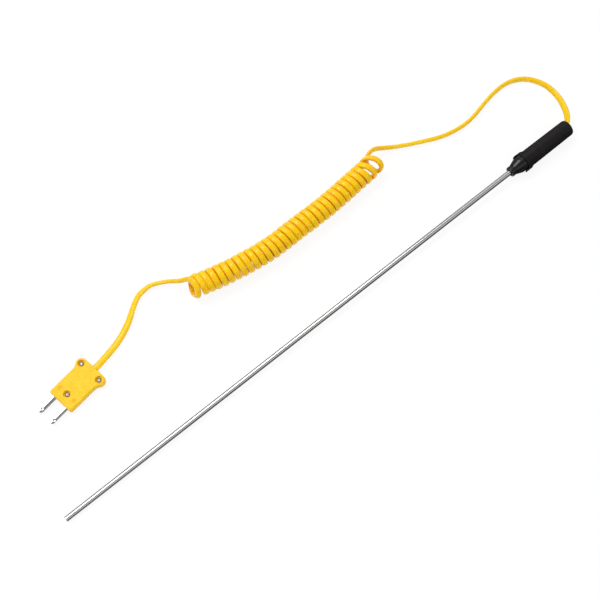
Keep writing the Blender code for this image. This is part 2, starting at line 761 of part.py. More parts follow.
def build_upper_shell(plug, channel, finishes):
    """The plug's cover: screw wells and polarity marks outside, one pocket inside."""
    bottom = PLUG_MIDDLE + PLUG_PARTING / 2
    shape = prism(plug_outline(), bottom, PLUG_THICKNESS)
    round_level(shape, PLUG_THICKNESS, PLUG_TOP_ROUND)
    shell = add_object(
        "plug_upper_shell", finish_mesh(shape, "plug_upper_shell"), finishes["yellow_plastic"], plug
    )
    pocket = rounded_rectangle(POCKET_FRONT, POCKET_REAR, POCKET_WIDTH / 2, POCKET_CORNER)
    roof = PLUG_THICKNESS - PLUG_WALL
    combine(shell, cutter("upper_pocket", prism(pocket, bottom - SEAM, roof), plug))
    combine(shell, channel)
    slot_top = PLUG_MIDDLE + BLADE_THICKNESS / 2 + TIGHT_FIT
    for polarity, y, width in blade_list():
        outline = rectangle(-SEAM, POCKET_FRONT + SEAM, y, width / 2 + TIGHT_FIT)
        combine(shell, cutter("upper_slot_" + polarity, prism(outline, bottom - SEAM, slot_top), plug))
        mark = bmesh.new()
        bmesh.ops.create_uvsphere(mark, u_segments=12, v_segments=8, radius=1.0)
        bmesh.ops.scale(mark, verts=mark.verts, vec=(MARK_LENGTH / 2, MARK_WIDTH / 2, MARK_DEPTH))
        place = (MARK_FRONT, math.copysign(MARK_SIDE, y), PLUG_THICKNESS)
        bmesh.ops.translate(mark, verts=mark.verts, vec=place)
        combine(shell, cutter("mark_" + polarity, mark, plug))
    for name, x, y in screw_places():
        above = PLUG_THICKNESS + SEAM
        well = cylinder_between(x, y, WELL_FLOOR, above, SCREW_WELL_DIAMETER, steps=24)
        combine(shell, cutter("well_" + name, well, plug))
        hole = cylinder_between(x, y, bottom - SEAM, WELL_FLOOR + SEAM, SCREW_HOLE_DIAMETER)
        combine(shell, cutter("upper_hole_" + name, hole, plug))


def build_lower_shell(plug, channel, finishes):
    """The plug's base: seats for the blades, a trough for the cores and pockets for the nuts."""
    top = PLUG_MIDDLE - PLUG_PARTING / 2
    shape = prism(plug_outline(), 0.0, top)
    round_level(shape, 0.0, PLUG_BOTTOM_ROUND, segments=2)
    shell = add_object(
        "plug_lower_shell", finish_mesh(shape, "plug_lower_shell"), finishes["yellow_plastic"], plug
    )
    trough = rounded_rectangle(POCKET_FRONT, POCKET_REAR, LOWER_POCKET_WIDTH / 2, POCKET_CORNER)
    combine(shell, cutter("lower_trough", prism(trough, PLUG_WALL, top + SEAM), plug))
    combine(shell, channel)
    seat = PLUG_MIDDLE - BLADE_THICKNESS / 2 - TIGHT_FIT
    for polarity, y, width in blade_list():
        outline = rectangle(-SEAM, BLADE_HELD + TIGHT_FIT, y, width / 2 + TIGHT_FIT)
        combine(shell, cutter("blade_seat_" + polarity, prism(outline, seat, top + SEAM), plug))
        floor = PLUG_MIDDLE + BLADE_THICKNESS / 2 + TIGHT_FIT - TERMINAL_SHANK_LENGTH - SEAM
        hole = cylinder_between(TERMINAL_FRONT, y, floor, seat + SEAM, SCREW_HOLE_DIAMETER)
        combine(shell, cutter("terminal_hole_" + polarity, hole, plug))
    nut_room = NUT_ACROSS_FLATS / math.cos(math.pi / 6) + 2 * TIGHT_FIT
    for name, x, y in screw_places():
        hole = cylinder_between(x, y, -SEAM, top + SEAM, SCREW_HOLE_DIAMETER)
        combine(shell, cutter("lower_hole_" + name, hole, plug))
        well = cylinder_between(x, y, -SEAM, NUT_LIFT + NUT_HEIGHT + TIGHT_FIT, nut_room, steps=6)
        combine(shell, cutter("nut_well_" + name, well, plug))


def build_blades(plug, finishes):
    """Two flat blades with round tips and a dimple, each held down by its terminal screw."""
    low = PLUG_MIDDLE - BLADE_THICKNESS / 2
    high = PLUG_MIDDLE + BLADE_THICKNESS / 2
    for polarity, y, width in blade_list():
        half = width / 2
        tip = arc(-BLADE_REACH + half, y, half, 90, 270, 8)
        shape = prism([(BLADE_HELD, y - half), (BLADE_HELD, y + half), *tip], low, high)
        for height in (low, high):
            round_level(shape, height, BLADE_EDGE, segments=1)
        blade = add_object(
            polarity + "_blade", finish_mesh(shape, polarity + "_blade"), finishes["nickel"], plug
        )
        hole = cylinder_between(TERMINAL_FRONT, y, low - SEAM, high + SEAM, SCREW_HOLE_DIAMETER)
        combine(blade, cutter("blade_hole_" + polarity, hole, plug))
        dimple = bmesh.new()
        bmesh.ops.create_uvsphere(dimple, u_segments=14, v_segments=8, radius=DIMPLE_DIAMETER / 2)
        flatten = 2 * DIMPLE_DEPTH / DIMPLE_DIAMETER
        bmesh.ops.scale(dimple, verts=dimple.verts, vec=(1, 1, flatten))
        bmesh.ops.translate(dimple, verts=dimple.verts, vec=(DIMPLE_BACK - BLADE_REACH, y, high))
        combine(blade, cutter("dimple_" + polarity, dimple, plug))

        mesh = screw_mesh(
            "terminal_screw_" + polarity,
            TERMINAL_HEAD_DIAMETER,
            TERMINAL_HEAD_HEIGHT,
            TERMINAL_SHANK_LENGTH,
            SCREW_SHANK_DIAMETER,
            high + TIGHT_FIT,
        )
        screw = add_object("terminal_screw_" + polarity, mesh, finishes["brass"], plug)
        screw.location = (TERMINAL_FRONT, y, 0.0)

        side = math.copysign(1.0, y)
        cord_end = PLUG_LENGTH - CORD_IN_PLUG - SEAM
        head_back = TERMINAL_FRONT + TERMINAL_HEAD_DIAMETER / 2 + TIGHT_FIT
        over_blade = high + TIGHT_FIT + CORE_DIAMETER / 2
        core = [
            (cord_end, side * CORE_SPACING / 2, PLUG_MIDDLE),
            (POCKET_REAR - 0.6 * MM, side * CORE_SPACING / 2, PLUG_MIDDLE),
            ((head_back + POCKET_REAR) / 2, side * 0.55 * abs(y), over_blade),
            (head_back, side * (abs(y) - 0.2 * MM), over_blade),
        ]
        curve_tube("plug_core_" + polarity, core, CORE_DIAMETER, finishes["core"], plug)


def build_cover_screws(plug, finishes):
    """Three cross-slotted screws in the cover's wells, each with a hexagonal nut in the base."""
    head_floor = WELL_FLOOR + TIGHT_FIT
    length = head_floor - NUT_LIFT
    mesh = screw_mesh(
        "cover_screw", SCREW_HEAD_DIAMETER, SCREW_HEAD_HEIGHT, length, SCREW_SHANK_DIAMETER, head_floor
    )
    head_top = head_floor + SCREW_HEAD_HEIGHT
    nut_radius = NUT_ACROSS_FLATS / 2 / math.cos(math.pi / 6)
    for name, x, y in screw_places():
        screw = add_object("cover_screw_" + name, mesh.copy(), finishes["nickel"], plug)
        screw.location = (x, y, 0.0)
        for bar, turn in (("a", 0.0), ("b", math.pi / 2)):
            outline = rectangle(-CROSS_LENGTH / 2, CROSS_LENGTH / 2, 0.0, CROSS_WIDTH / 2)
            bar_shape = prism(outline, head_top - CROSS_DEPTH, head_top + SEAM)
            slot = cutter("cross_" + name + "_" + bar, bar_shape, plug)
            slot.location = (x, y, 0.0)
            slot.rotation_euler = (0.0, 0.0, turn + math.radians(20))
            combine(screw, slot)

        nut_top = NUT_LIFT + NUT_HEIGHT
        hexagon = cylinder_between(0.0, 0.0, NUT_LIFT, nut_top, 2 * nut_radius, steps=6)
        nut_mesh = finish_mesh(hexagon, "nut_" + name)
        nut = add_object("cover_nut_" + name, nut_mesh, finishes["brass"], plug)
        nut.location = (x, y, 0.0)
        bore = cylinder_between(0.0, 0.0, NUT_LIFT - SEAM, nut_top + SEAM, SCREW_HOLE_DIAMETER)
        bore = cutter("nut_bore_" + name, bore, plug)
        bore.location = (x, y, 0.0)
        combine(nut, bore)


def main():
    """Builds the probe on its own axis, the plug in its own frame, and the cord between them."""
    clear_scene()
    finishes = {
        "steel": make_material("brushed_steel", (0.62, 0.62, 0.63), 0.28, 1.0),
        "nickel": make_material("nickel", (0.66, 0.64, 0.60), 0.25, 1.0),
        "brass": make_material("brass", (0.76, 0.55, 0.24), 0.3, 1.0),
        "ceramic": make_material("ceramic", (0.83, 0.80, 0.73), 0.6),
        "black_plastic": make_material("black_plastic", (0.018, 0.017, 0.018), 0.32),
        "rubber": make_material("black_rubber", (0.02, 0.02, 0.02), 0.7),
        "yellow_plastic": make_material("yellow_plastic", (0.99, 0.67, 0.05), 0.4),
        "cord": make_material("yellow_jacket", (1.0, 0.58, 0.01), 0.3),
        "core": make_material("core_jacket", (0.75, 0.72, 0.68), 0.5),
    }
    rear_x = GRIP_END * math.cos(LAY_ANGLE) + MOUTH_RADIUS * math.sin(LAY_ANGLE)
    front_x = -SHEATH_RADIUS * math.sin(LAY_ANGLE)
    shift = -(rear_x + front_x) / 2
    lift = SHEATH_RADIUS * math.cos(LAY_ANGLE)
    probe = add_frame("probe_axis", (shift, 0.0, lift), (0.0, -LAY_ANGLE, 0.0))
    mouth = (shift + GRIP_END * math.cos(LAY_ANGLE), 0.0)

    away = Vector((math.cos(PLUG_AZIMUTH), math.sin(PLUG_AZIMUTH), 0.0))
    rear = Vector((mouth[0] + PLUG_REAR[0] * MM, mouth[1] + PLUG_REAR[1] * MM, 0.0))
    plug = add_frame("plug_frame", rear - away * PLUG_LENGTH, (0.0, 0.0, PLUG_AZIMUTH))
    bpy.context.view_layer.update()

    build_sheath(probe, finishes)
    build_nose(probe, finishes)
    build_grip(probe, finishes)
    build_handle_fittings(probe, finishes)
    build_cord(mouth, plug, finishes)
    channel = cord_channel(plug)
    build_upper_shell(plug, channel, finishes)
    build_lower_shell(plug, channel, finishes)
    build_blades(plug, finishes)
    build_cover_screws(plug, finishes)


main()
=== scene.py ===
"""Looks of a handheld thermocouple probe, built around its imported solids.

The probe has a long thin sheath, a slim black handle, a curly yellow cord and a flat two-blade plug.
It lies on a pale table. Everything is in metres, in the frame of the solids: the sheath's tip points
along -X, the cord lies on the +Y side, and the table is at Z = 0.
"""

import logging
import math
from dataclasses import dataclass, field, replace
from enum import Enum
from typing import Any, Iterable, Sequence

import bmesh
import bpy
import numpy as np
from mathutils import Matrix, Vector


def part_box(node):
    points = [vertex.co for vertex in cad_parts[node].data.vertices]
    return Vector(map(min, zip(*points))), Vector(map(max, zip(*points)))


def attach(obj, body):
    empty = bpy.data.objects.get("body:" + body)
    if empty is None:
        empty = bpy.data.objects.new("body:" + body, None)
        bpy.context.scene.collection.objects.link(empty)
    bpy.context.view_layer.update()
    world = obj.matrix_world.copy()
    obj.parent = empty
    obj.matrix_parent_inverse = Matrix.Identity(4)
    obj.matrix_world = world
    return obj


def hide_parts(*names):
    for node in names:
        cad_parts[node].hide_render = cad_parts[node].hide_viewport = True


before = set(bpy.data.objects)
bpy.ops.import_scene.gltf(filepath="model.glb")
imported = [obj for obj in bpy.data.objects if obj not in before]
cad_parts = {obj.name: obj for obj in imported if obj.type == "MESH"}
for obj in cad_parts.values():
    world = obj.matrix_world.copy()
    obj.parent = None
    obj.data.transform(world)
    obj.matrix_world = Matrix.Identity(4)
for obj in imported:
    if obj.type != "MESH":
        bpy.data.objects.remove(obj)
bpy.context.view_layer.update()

LOG = logging.getLogger("thermocouple_probe")
MM = 0.001
BODY = "root"
Point = tuple[float, float]
Colour = tuple[float, float, float]
Spot = tuple[float, float, float]
RoutePoint = tuple[float, float, float, float]
Mesh = bpy.types.Mesh
Socket = bpy.types.NodeSocket


# Curves and surfaces


def run_length(line: np.ndarray) -> np.ndarray:
    """How far each point of a line lies from its first point, along the line."""
    return np.concatenate([[0.0], np.cumsum(np.linalg.norm(np.diff(line[:, :3], axis=0), axis=1))])


def spline(points: np.ndarray, step: float) -> np.ndarray:
    """Reads a smooth line at even steps.

    Each coordinate is a natural cubic spline over the length of the straight lines between the
    given points: its second derivatives solve one tridiagonal system.

    Args:
        points: Given points, one in a row, with any further numbers carried along.
        step: Distance between the points read.

    Returns:
        The points read, both ends included.
    """
    given = np.asarray(points, float)
    knots = run_length(given)
    gaps = np.diff(knots)
    slopes = np.diff(given, axis=0) / gaps[:, None]
    system = np.eye(len(given))
    inner = np.arange(1, len(given) - 1)
    system[inner, inner - 1] = gaps[:-1]
    system[inner, inner] = 2 * (gaps[:-1] + gaps[1:])
    system[inner, inner + 1] = gaps[1:]
    right = np.zeros_like(given)
    right[1:-1] = 6 * np.diff(slopes, axis=0)
    bends = np.linalg.solve(system, right)
    places = np.linspace(0, knots[-1], max(2, round(knots[-1] / step)) + 1)
    index = np.clip(np.searchsorted(knots, places, side="right") - 1, 0, len(gaps) - 1)
    gap = gaps[index][:, None]
    past = (places - knots[index])[:, None]
    left = gap - past
    return (
        (bends[index] * left**3 + bends[index + 1] * past**3) / (6 * gap)
        + (given[index] / gap - bends[index] * gap / 6) * left
        + (given[index + 1] / gap - bends[index + 1] * gap / 6) * past
    )


def unit(vectors: np.ndarray) -> np.ndarray:
    """Each row at length one."""
    return vectors / np.linalg.norm(vectors, axis=-1, keepdims=True)


def tangents(line: np.ndarray) -> np.ndarray:
    """The direction of a line at each of its points, from its neighbours."""
    return unit(np.gradient(line, axis=0))


def arc(centre: Point, radius: float, start: float, end: float, steps: int) -> np.ndarray:
    """Points on a circle from one angle to another, both included.

    Args:
        centre: The circle's middle.
        radius: Its radius.
        start: The first angle, in degrees.
        end: The last angle, in degrees.
        steps: Steps between them.

    Returns:
        The points as (x, y).
    """
    angles = np.radians(np.linspace(start, end, steps + 1))
    return np.stack([centre[0] + radius * np.cos(angles), centre[1] + radius * np.sin(angles)], axis=1)


def rounded(corners: Sequence[Spot], steps: int = 5) -> np.ndarray:
    """An open outline whose corners are rounded.

    Each corner is cut back by its own length on both sides, at most to the middle of a side, and
    bridged by a quadratic curve that touches both sides.

    Args:
        corners: Points as (x, y, cut), where a cut of zero keeps the corner sharp.
        steps: Steps in each rounding.

    Returns:
        The outline's points.
    """
    places = np.array([corner[:2] for corner in corners], float)
    parts = [places[:1]]
    weights = np.linspace(0, 1, steps + 1)[:, None]
    most = 0.49
    cuts = [corner[2] for corner in corners[1:-1]]
    for before, here, after, cut in zip(places, places[1:], places[2:], cuts):
        back, ahead = before - here, after - here
        if cut <= 0:
            parts.append(here[None])
            continue
        start = here + back * min(most, cut / np.linalg.norm(back))
        end = here + ahead * min(most, cut / np.linalg.norm(ahead))
        parts.append((1 - weights) ** 2 * start + 2 * weights * (1 - weights) * here + weights**2 * end)
    parts.append(places[-1:])
    return np.concatenate(parts)


def squared(wave: np.ndarray, power: float) -> np.ndarray:
    """A wave's values with their signs kept and their sizes raised to a power."""
    return np.sign(wave) * np.abs(wave) ** power


def grid_mesh(name: str, points: np.ndarray, loop: bool = False) -> Mesh:
    """A mesh over a grid of points whose last column joins the first.

    Args:
        name: The mesh's name.
        points: Rows of points, as an array of rows by columns by three.
        loop: Whether the last row joins the first. If not, a face closes each end, and settle merges
            it to one vertex where the row has shrunk to a point.

    Returns:
        The mesh, with a UV map that has rows along U and columns along V.
    """
    rows, columns = points.shape[:2]
    low, left = np.meshgrid(np.arange(rows if loop else rows - 1), np.arange(columns), indexing="ij")
    high, right = (low + 1) % rows, (left + 1) % columns
    corners = [low * columns + left, high * columns + left, high * columns + right, low * columns + right]
    faces = np.stack(corners).reshape(4, -1).T.tolist()
    share_u = np.stack([low, low + 1, low + 1, low]).reshape(4, -1).T / max(1, rows - 1)
    share_v = np.stack([left, left, left + 1, left + 1]).reshape(4, -1).T / columns
    share = np.stack([share_u, share_v], axis=-1).reshape(-1, 2)
    if not loop:
        faces += [list(range(columns)), list(range(rows * columns - 1, (rows - 1) * columns - 1, -1))]
        share = np.concatenate([share, np.zeros((2 * columns, 2))])
    mesh = bpy.data.meshes.new(name)
    mesh.from_pydata(points.reshape(-1, 3).tolist(), [], faces)
    layer = mesh.uv_layers.new(name="along_around")
    layer.data.foreach_set("uv", share.astype(np.float32).ravel())
    return mesh


def settle(mesh: Mesh, sharp: float = 35.0) -> Mesh:
    """Merges a mesh's doubled points, drops empty faces, turns the rest out and shades them smooth.

    Args:
        mesh: The mesh to change.
        sharp: Edges that turn by more than this stay sharp, in degrees.

    Returns:
        The same mesh.
    """
    merged_within, empty_within = 1e-7, 1e-8
    shape = bmesh.new()
    shape.from_mesh(mesh)
    bmesh.ops.remove_doubles(shape, verts=shape.verts, dist=merged_within)
    bmesh.ops.dissolve_degenerate(shape, edges=shape.edges, dist=empty_within)
    bmesh.ops.recalc_face_normals(shape, faces=shape.faces)
    shape.to_mesh(mesh)
    shape.free()
    mesh.shade_smooth()
    mesh.set_sharp_from_angle(angle=math.radians(sharp))
    return mesh


def turned(profile: np.ndarray, steps: int) -> np.ndarray:
    """A surface of revolution about X: each (x, radius) point goes round a circle.

    Args:
        profile: Points as (x, radius).
        steps: Points on each circle.

    Returns:
        Rows of points, one row for each point of the profile.
    """
    angles = np.linspace(0, math.tau, steps, endpoint=False)
    x = np.repeat(profile[:, :1], steps, axis=1)
    return np.stack([x, profile[:, 1:] * np.cos(angles), profile[:, 1:] * np.sin(angles)], axis=-1)


def rim_swept(outline: np.ndarray, profile: np.ndarray) -> np.ndarray:
    """A plate's rim: a closed outline set inwards at each height of a profile.

    Each point moves along the inward normal of its outline, which is the mean of its two sides'.

    Args:
        outline: Points as (x, y), anticlockwise.
        profile: Pairs of inset and height.

    Returns:
        Rows of points, one row for each pair of the profile.
    """
    along = unit(np.roll(outline, -1, axis=0) - np.roll(outline, 1, axis=0))
    inward = np.stack([-along[:, 1], along[:, 0]], axis=1)
    flat = outline[None] + profile[:, :1, None] * inward[None]
    height = np.repeat(profile[:, 1:], len(outline), axis=1)[..., None]
    return np.concatenate([flat, height], axis=-1)


def carried(line: np.ndarray, wide: np.ndarray, section: np.ndarray) -> np.ndarray:
    """A section carried along a line.

    The section's first axis follows the wide direction, made square to the line, and its second
    axis is square to both.

    Args:
        line: Points of the line.
        wide: The wide direction at each point.
        section: Points as (wide, thin), in metres.

    Returns:
        Rows of points, one row for each point of the line.
    """
    along = tangents(line)
    across = unit(wide - np.sum(wide * along, axis=1, keepdims=True) * along)
    thin = np.cross(along, across)
    return line[:, None] + section[None, :, :1] * across[:, None] + section[None, :, 1:] * thin[:, None]


def oval_section(width: float, thickness: float, steps: int = 8) -> np.ndarray:
    """The outline of a flat cord's room: two half circles joined by straight sides.

    Args:
        width: The outline's width.
        thickness: The outline's thickness.
        steps: Steps in each half circle.

    Returns:
        The outline's points.
    """
    flat, radius = (width - thickness) / 2, thickness / 2
    right, left = arc((flat, 0), radius, -90, 90, steps), arc((-flat, 0), radius, 90, 270, steps)
    return np.concatenate([right, left])


def jacket_section(width: float, thickness: float, steps: int = 24) -> np.ndarray:
    """The outline of the cord's jacket: a superellipse a little fuller than an ellipse.

    Each point is (a |cos t|^p, b |sin t|^p) with the signs of the cosine and the sine, where a and
    b are half the width and the thickness and p is 0.88.

    Args:
        width: The section's width.
        thickness: The section's thickness.
        steps: Points round the section.

    Returns:
        The outline's points.
    """
    angle = np.linspace(0, math.tau, steps, endpoint=False)
    fuller = 0.88
    across = width / 2 * squared(np.cos(angle), fuller)
    through = thickness / 2 * squared(np.sin(angle), fuller)
    return np.stack([across, through], axis=1)


def fade(distance: np.ndarray, start: float, end: float) -> np.ndarray:
    """A smooth step down: one up to a start, zero past an end, and 1 - s s (3 - 2 s) between them.

    Args:
        distance: The values to read it at.
        start: Where it begins to fall.
        end: Where it has reached zero.

    Returns:
        Its value at each of them.
    """
    share = np.clip((distance - start) / (end - start), 0, 1)
    return 1 - share * share * (3 - 2 * share)


@dataclass(frozen=True)
class Place:
    """Where a sub-assembly lies: its own axes turned into the row frame."""

    matrix: Matrix

    def put(self, points: np.ndarray) -> np.ndarray:
        """Points of the sub-assembly's own frame, in the row frame."""
        turn = np.array(self.matrix.to_3x3())
        return np.asarray(points) @ turn.T + np.array(self.matrix.translation)


@dataclass
class Piece:
    """One finished object of the scene."""

    name: str
    mesh: Mesh
    finish: "Finish"
    replaces: tuple[str, ...] = ()
    sharp: float = 35.0

    def show(self) -> bpy.types.Object:
        """Links the object, gives it its finish and lets it ride on the body.

        Returns:
            The object, at the origin, with its place in its mesh.
        """
        settle(self.mesh, self.sharp)
        self.mesh.materials.clear()
        self.mesh.materials.append(self.finish.material())
        thing = bpy.data.objects.new(self.name, self.mesh)
        bpy.context.scene.collection.objects.link(thing)
        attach(thing, BODY)
        if self.replaces:
            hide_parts(*self.replaces)
        LOG.info("%s: %d faces", self.name, len(self.mesh.polygons))
        return thing


def carve(mesh: Mesh, cutters: Iterable[Mesh]) -> Mesh:
    """Cuts closed shapes out of a closed mesh.

    Args:
        mesh: The mesh to cut.
        cutters: Closed meshes in the same frame.

    Returns:
        A new mesh.
    """
    blank = bpy.data.objects.new("blank", settle(mesh))
    helpers = [bpy.data.objects.new("cutter", settle(cutter)) for cutter in cutters]
    for thing in [blank, *helpers]:
        bpy.context.scene.collection.objects.link(thing)
    for helper in helpers:
        step = blank.modifiers.new("cut", "BOOLEAN")
        step.operation, step.solver, step.object = "DIFFERENCE", "EXACT", helper
    graph = bpy.context.evaluated_depsgraph_get()
    result = bpy.data.meshes.new_from_object(blank.evaluated_get(graph))
    result.name = mesh.name
    for thing in [blank, *helpers]:
        bpy.data.objects.remove(thing, do_unlink=True)
    return result


# Finishes


class Tree:
    """A node tree, filled in by short calls."""

    def __init__(self, tree: bpy.types.NodeTree) -> None:
        """Takes the tree to fill in."""
        self.tree = tree

    def add(self, kind: str, inputs: dict[Any, Any] | None = None, **options: Any) -> bpy.types.Node:
        """Adds a node.

        Args:
            kind: The node's type.
            inputs: Values or output sockets by input name or number.
            **options: The node's own properties.

        Returns:
            The node.
        """
        node = self.tree.nodes.new(kind)
        for key, value in options.items():
            setattr(node, key, value)
        for key, value in (inputs or {}).items():
            if isinstance(value, Socket):
                self.tree.links.new(value, node.inputs[key])
            else:
                node.inputs[key].default_value = value
        return node

    def maths(self, operation: str, *values: float | Socket) -> Socket:
        """One step of arithmetic on numbers or sockets."""
        return self.add("ShaderNodeMath", dict(enumerate(values)), operation=operation).outputs[0]

    def mapped(self, source: Socket, given: Point, wanted: Point) -> Socket:
        """Maps one range of values onto another, and holds its ends beyond them.

        Args:
            source: The value.
            given: The first range, as its low and high end.
            wanted: What these two become.

        Returns:
            The mapped value's socket.
        """
        ends = {"From Min": given[0], "From Max": given[1], "To Min": wanted[0], "To Max": wanted[1]}
        return self.add("ShaderNodeMapRange", {"Value": source, **ends}).outputs["Result"]

    def ramp(self, source: Socket, stops: Sequence[tuple[float, Colour]]) -> Socket:
        """Maps a value to colours through evenly blended stops.

        Args:
            source: The value.
            stops: Positions between 0 and 1 with their colours, in rising order.

        Returns:
            The colour's socket.
        """
        node = self.add("ShaderNodeValToRGB", {"Fac": source})
        elements = node.color_ramp.elements
        while len(elements) < len(stops):
            elements.new(0.5)
        for element, (position, colour) in zip(elements, stops):
            element.position = position
            element.color = (*colour, 1.0)
        return node.outputs["Color"]

    def either(self, share: float | Socket, *shaders: Socket) -> Socket:
        """The first shader where the share is zero, and the second where it is one."""
        return self.add("ShaderNodeMixShader", {0: share, 1: shaders[0], 2: shaders[1]}).outputs[0]


class Nodes(Tree):
    """A material's node tree, around one Principled shader."""

    def __init__(self, name: str) -> None:
        """Starts a material with its shader.

        Args:
            name: The material's name.
        """
        self.made = bpy.data.materials.new(name)
        self.made.use_nodes = True
        super().__init__(self.made.node_tree)
        self.shader = self.tree.nodes["Principled BSDF"]

    def set(self, **values: float | Colour) -> None:
        """Sets constants on the shader's own sockets, named with underscores for spaces."""
        for key, value in values.items():
            socket = self.shader.inputs[key.replace("_", " ")]
            socket.default_value = (*value, 1.0) if isinstance(value, tuple) else value

    def feed(self, socket: str, source: Socket) -> None:
        """Joins a source to one of the shader's sockets."""
        self.tree.links.new(source, self.shader.inputs[socket])

    def stretched(self, output: str, scale: Spot) -> Socket:
        """Texture coordinates of the piece.

        Args:
            output: Which coordinates: "Object" or "UV".
            scale: How often they repeat along each axis.

        Returns:
            Their socket.
        """
        place = self.add("ShaderNodeTexCoord")
        mapping = self.add("ShaderNodeMapping", {"Vector": place.outputs[output], "Scale": scale})
        return mapping.outputs["Vector"]

    def noise(self, vector: Socket, scale: float, detail: float = 3.0) -> Socket:
        """Fractal noise between 0 and 1.

        Args:
            vector: Where it is read.
            scale: How fine it is, in waves for each unit of the coordinates.
            detail: How many finer layers lie over it.

        Returns:
            The noise's socket.
        """
        node = self.add("ShaderNodeTexNoise", {"Vector": vector, "Scale": scale, "Detail": detail})
        return node.outputs["Fac"]

    def span(self, source: Socket, low: float, high: float) -> Socket:
        """Maps the common values of a noise, 0.3 to 0.7, onto a range."""
        return self.mapped(source, (0.3, 0.7), (low, high))

    def mixed(self, share: Socket, source: Socket, other: Colour) -> Socket:
        """Blends a plain colour over a colour source.

        The mix node has its colour sockets behind those for numbers and vectors, so they are reached
        by their numbers.

        Args:
            share: How much of the plain colour shows.
            source: The colour below.
            other: The plain colour.

        Returns:
            The blend's socket.
        """
        inputs = {0: share, 6: source, 7: (*other, 1.0)}
        return self.add("ShaderNodeMix", inputs, data_type="RGBA").outputs[2]

    def glow(self, weight: float) -> None:
        """Lets light spread inside the surface, red furthest, over about a millimetre.

        Args:
            weight: The share of the surface's colour that is lit this way.
        """
        if weight:
            self.set(Subsurface_Weight=weight, Subsurface_Scale=1.2 * MM)
            self.shader.inputs["Subsurface Radius"].default_value = (1.0, 0.4, 0.08)

    def bump(self, height: Socket, depth: float) -> None:
        """Feeds the shader's normal with a bump of a real depth in metres."""
        node = self.add("ShaderNodeBump", {"Height": height, "Distance": depth, "Strength": 1.0})
        self.feed("Normal", node.outputs["Normal"])


@dataclass(frozen=True)
class Finish:
    """A surface finish, made a material once."""

    name: str
    slot: str
    colour: Colour
    roughness: float
    metallic: float = 0.0

    def material(self) -> bpy.types.Material:
        """The material of this name, made on first use."""
        return bpy.data.materials.get(self.name) or self.make()

    def make(self) -> bpy.types.Material:
        """A plain finish with faint mottling in colour and roughness.

        Returns:
            The material.
        """
        mottling, pits, pit_depth = 900.0, 4000.0, 0.01 * MM
        nodes = Nodes(self.name)
        nodes.set(Metallic=self.metallic)
        place = nodes.stretched("Object", (1.0, 1.0, 1.0))
        cloud = nodes.noise(place, mottling)
        dark = tuple(0.88 * part for part in self.colour)
        nodes.feed("Base Color", nodes.ramp(cloud, [(0.3, dark), (0.7, self.colour)]))
        nodes.feed("Roughness", nodes.span(cloud, self.roughness * 0.85, self.roughness * 1.15))
        nodes.bump(nodes.noise(place, pits), pit_depth)
        return nodes.made


@dataclass(frozen=True)
class DrawnMetal(Finish):
    """Metal with fine lines along the piece, read from its UV map.

    The lines repeat round the piece and along it. Their shading is finer than their colour.
    """

    lines: float = 60.0
    length_share: float = 0.6
    depth: float = 0.006 * MM

    def make(self) -> bpy.types.Material:
        """Long lines of slightly different colour, roughness and height.

        Returns:
            The material.
        """
        nodes = Nodes(self.name)
        nodes.set(Metallic=self.metallic, Anisotropic=0.4)
        streaks = nodes.noise(nodes.stretched("UV", (self.length_share, self.lines, 1.0)), 1.0, 2.0)
        dark = tuple(0.72 * part for part in self.colour)
        colour = nodes.ramp(streaks, [(0.3, dark), (0.52, self.colour), (0.75, self.colour)])
        nodes.feed("Base Color", colour)
        nodes.feed("Roughness", nodes.span(streaks, self.roughness * 1.3, self.roughness * 0.8))
        fine = nodes.stretched("UV", (self.length_share * 2, self.lines * 3, 1.0))
        nodes.bump(nodes.noise(fine, 1.0, 1.0), self.depth)
        return nodes.made


@dataclass(frozen=True)
class Moulded(Finish):
    """Moulded plastic with a fine eroded grain and rubbed patches."""

    shade: Colour = (0.0, 0.0, 0.0)
    grain: float = 5200.0
    depth: float = 0.01 * MM
    specular: float = 0.5
    glow: float = 0.0
    # Spots and colour of painted shade, as in and around the plug's two mark dimples.
    painted_shades: tuple[tuple[float, ...], ...] = ()
    painted_shade: Colour = (1.0, 0.5, 0.008)
    painted_shade_reach: float = 1.9 * MM

    def make(self) -> bpy.types.Material:
        """Grain in the surface, cloudy roughness, a slow drift of the colour and light inside it.

        Painted shade, a deeper orange, is strongest in the middle of each of its spots and gone at its reach.

        Returns:
            The material.
        """
        clouds, rubs, painted_shade_core, painted_shade_level = 260.0, 520.0, 0.4 * MM, 0.85
        nodes = Nodes(self.name)
        nodes.set(Specular_IOR_Level=self.specular)
        nodes.glow(self.glow)
        place = nodes.stretched("Object", (1.0, 1.0, 1.0))
        cloud = nodes.noise(place, clouds)
        colour = nodes.ramp(cloud, [(0.3, self.shade), (0.62, self.colour)])
        # Painted shade in and around each given spot.
        for middle in self.painted_shades:
            ends = {0: place, 1: middle}
            away = nodes.add("ShaderNodeVectorMath", ends, operation="DISTANCE").outputs["Value"]
            share = nodes.mapped(away, (painted_shade_core, self.painted_shade_reach), (painted_shade_level, 0.0))
            colour = nodes.mixed(share, colour, self.painted_shade)
        nodes.feed("Base Color", colour)
        rubbed = nodes.noise(place, rubs, 5.0)
        nodes.feed("Roughness", nodes.span(rubbed, self.roughness * 1.18, self.roughness * 0.85))
        nodes.bump(nodes.noise(place, self.grain, 2.0), self.depth)
        return nodes.made


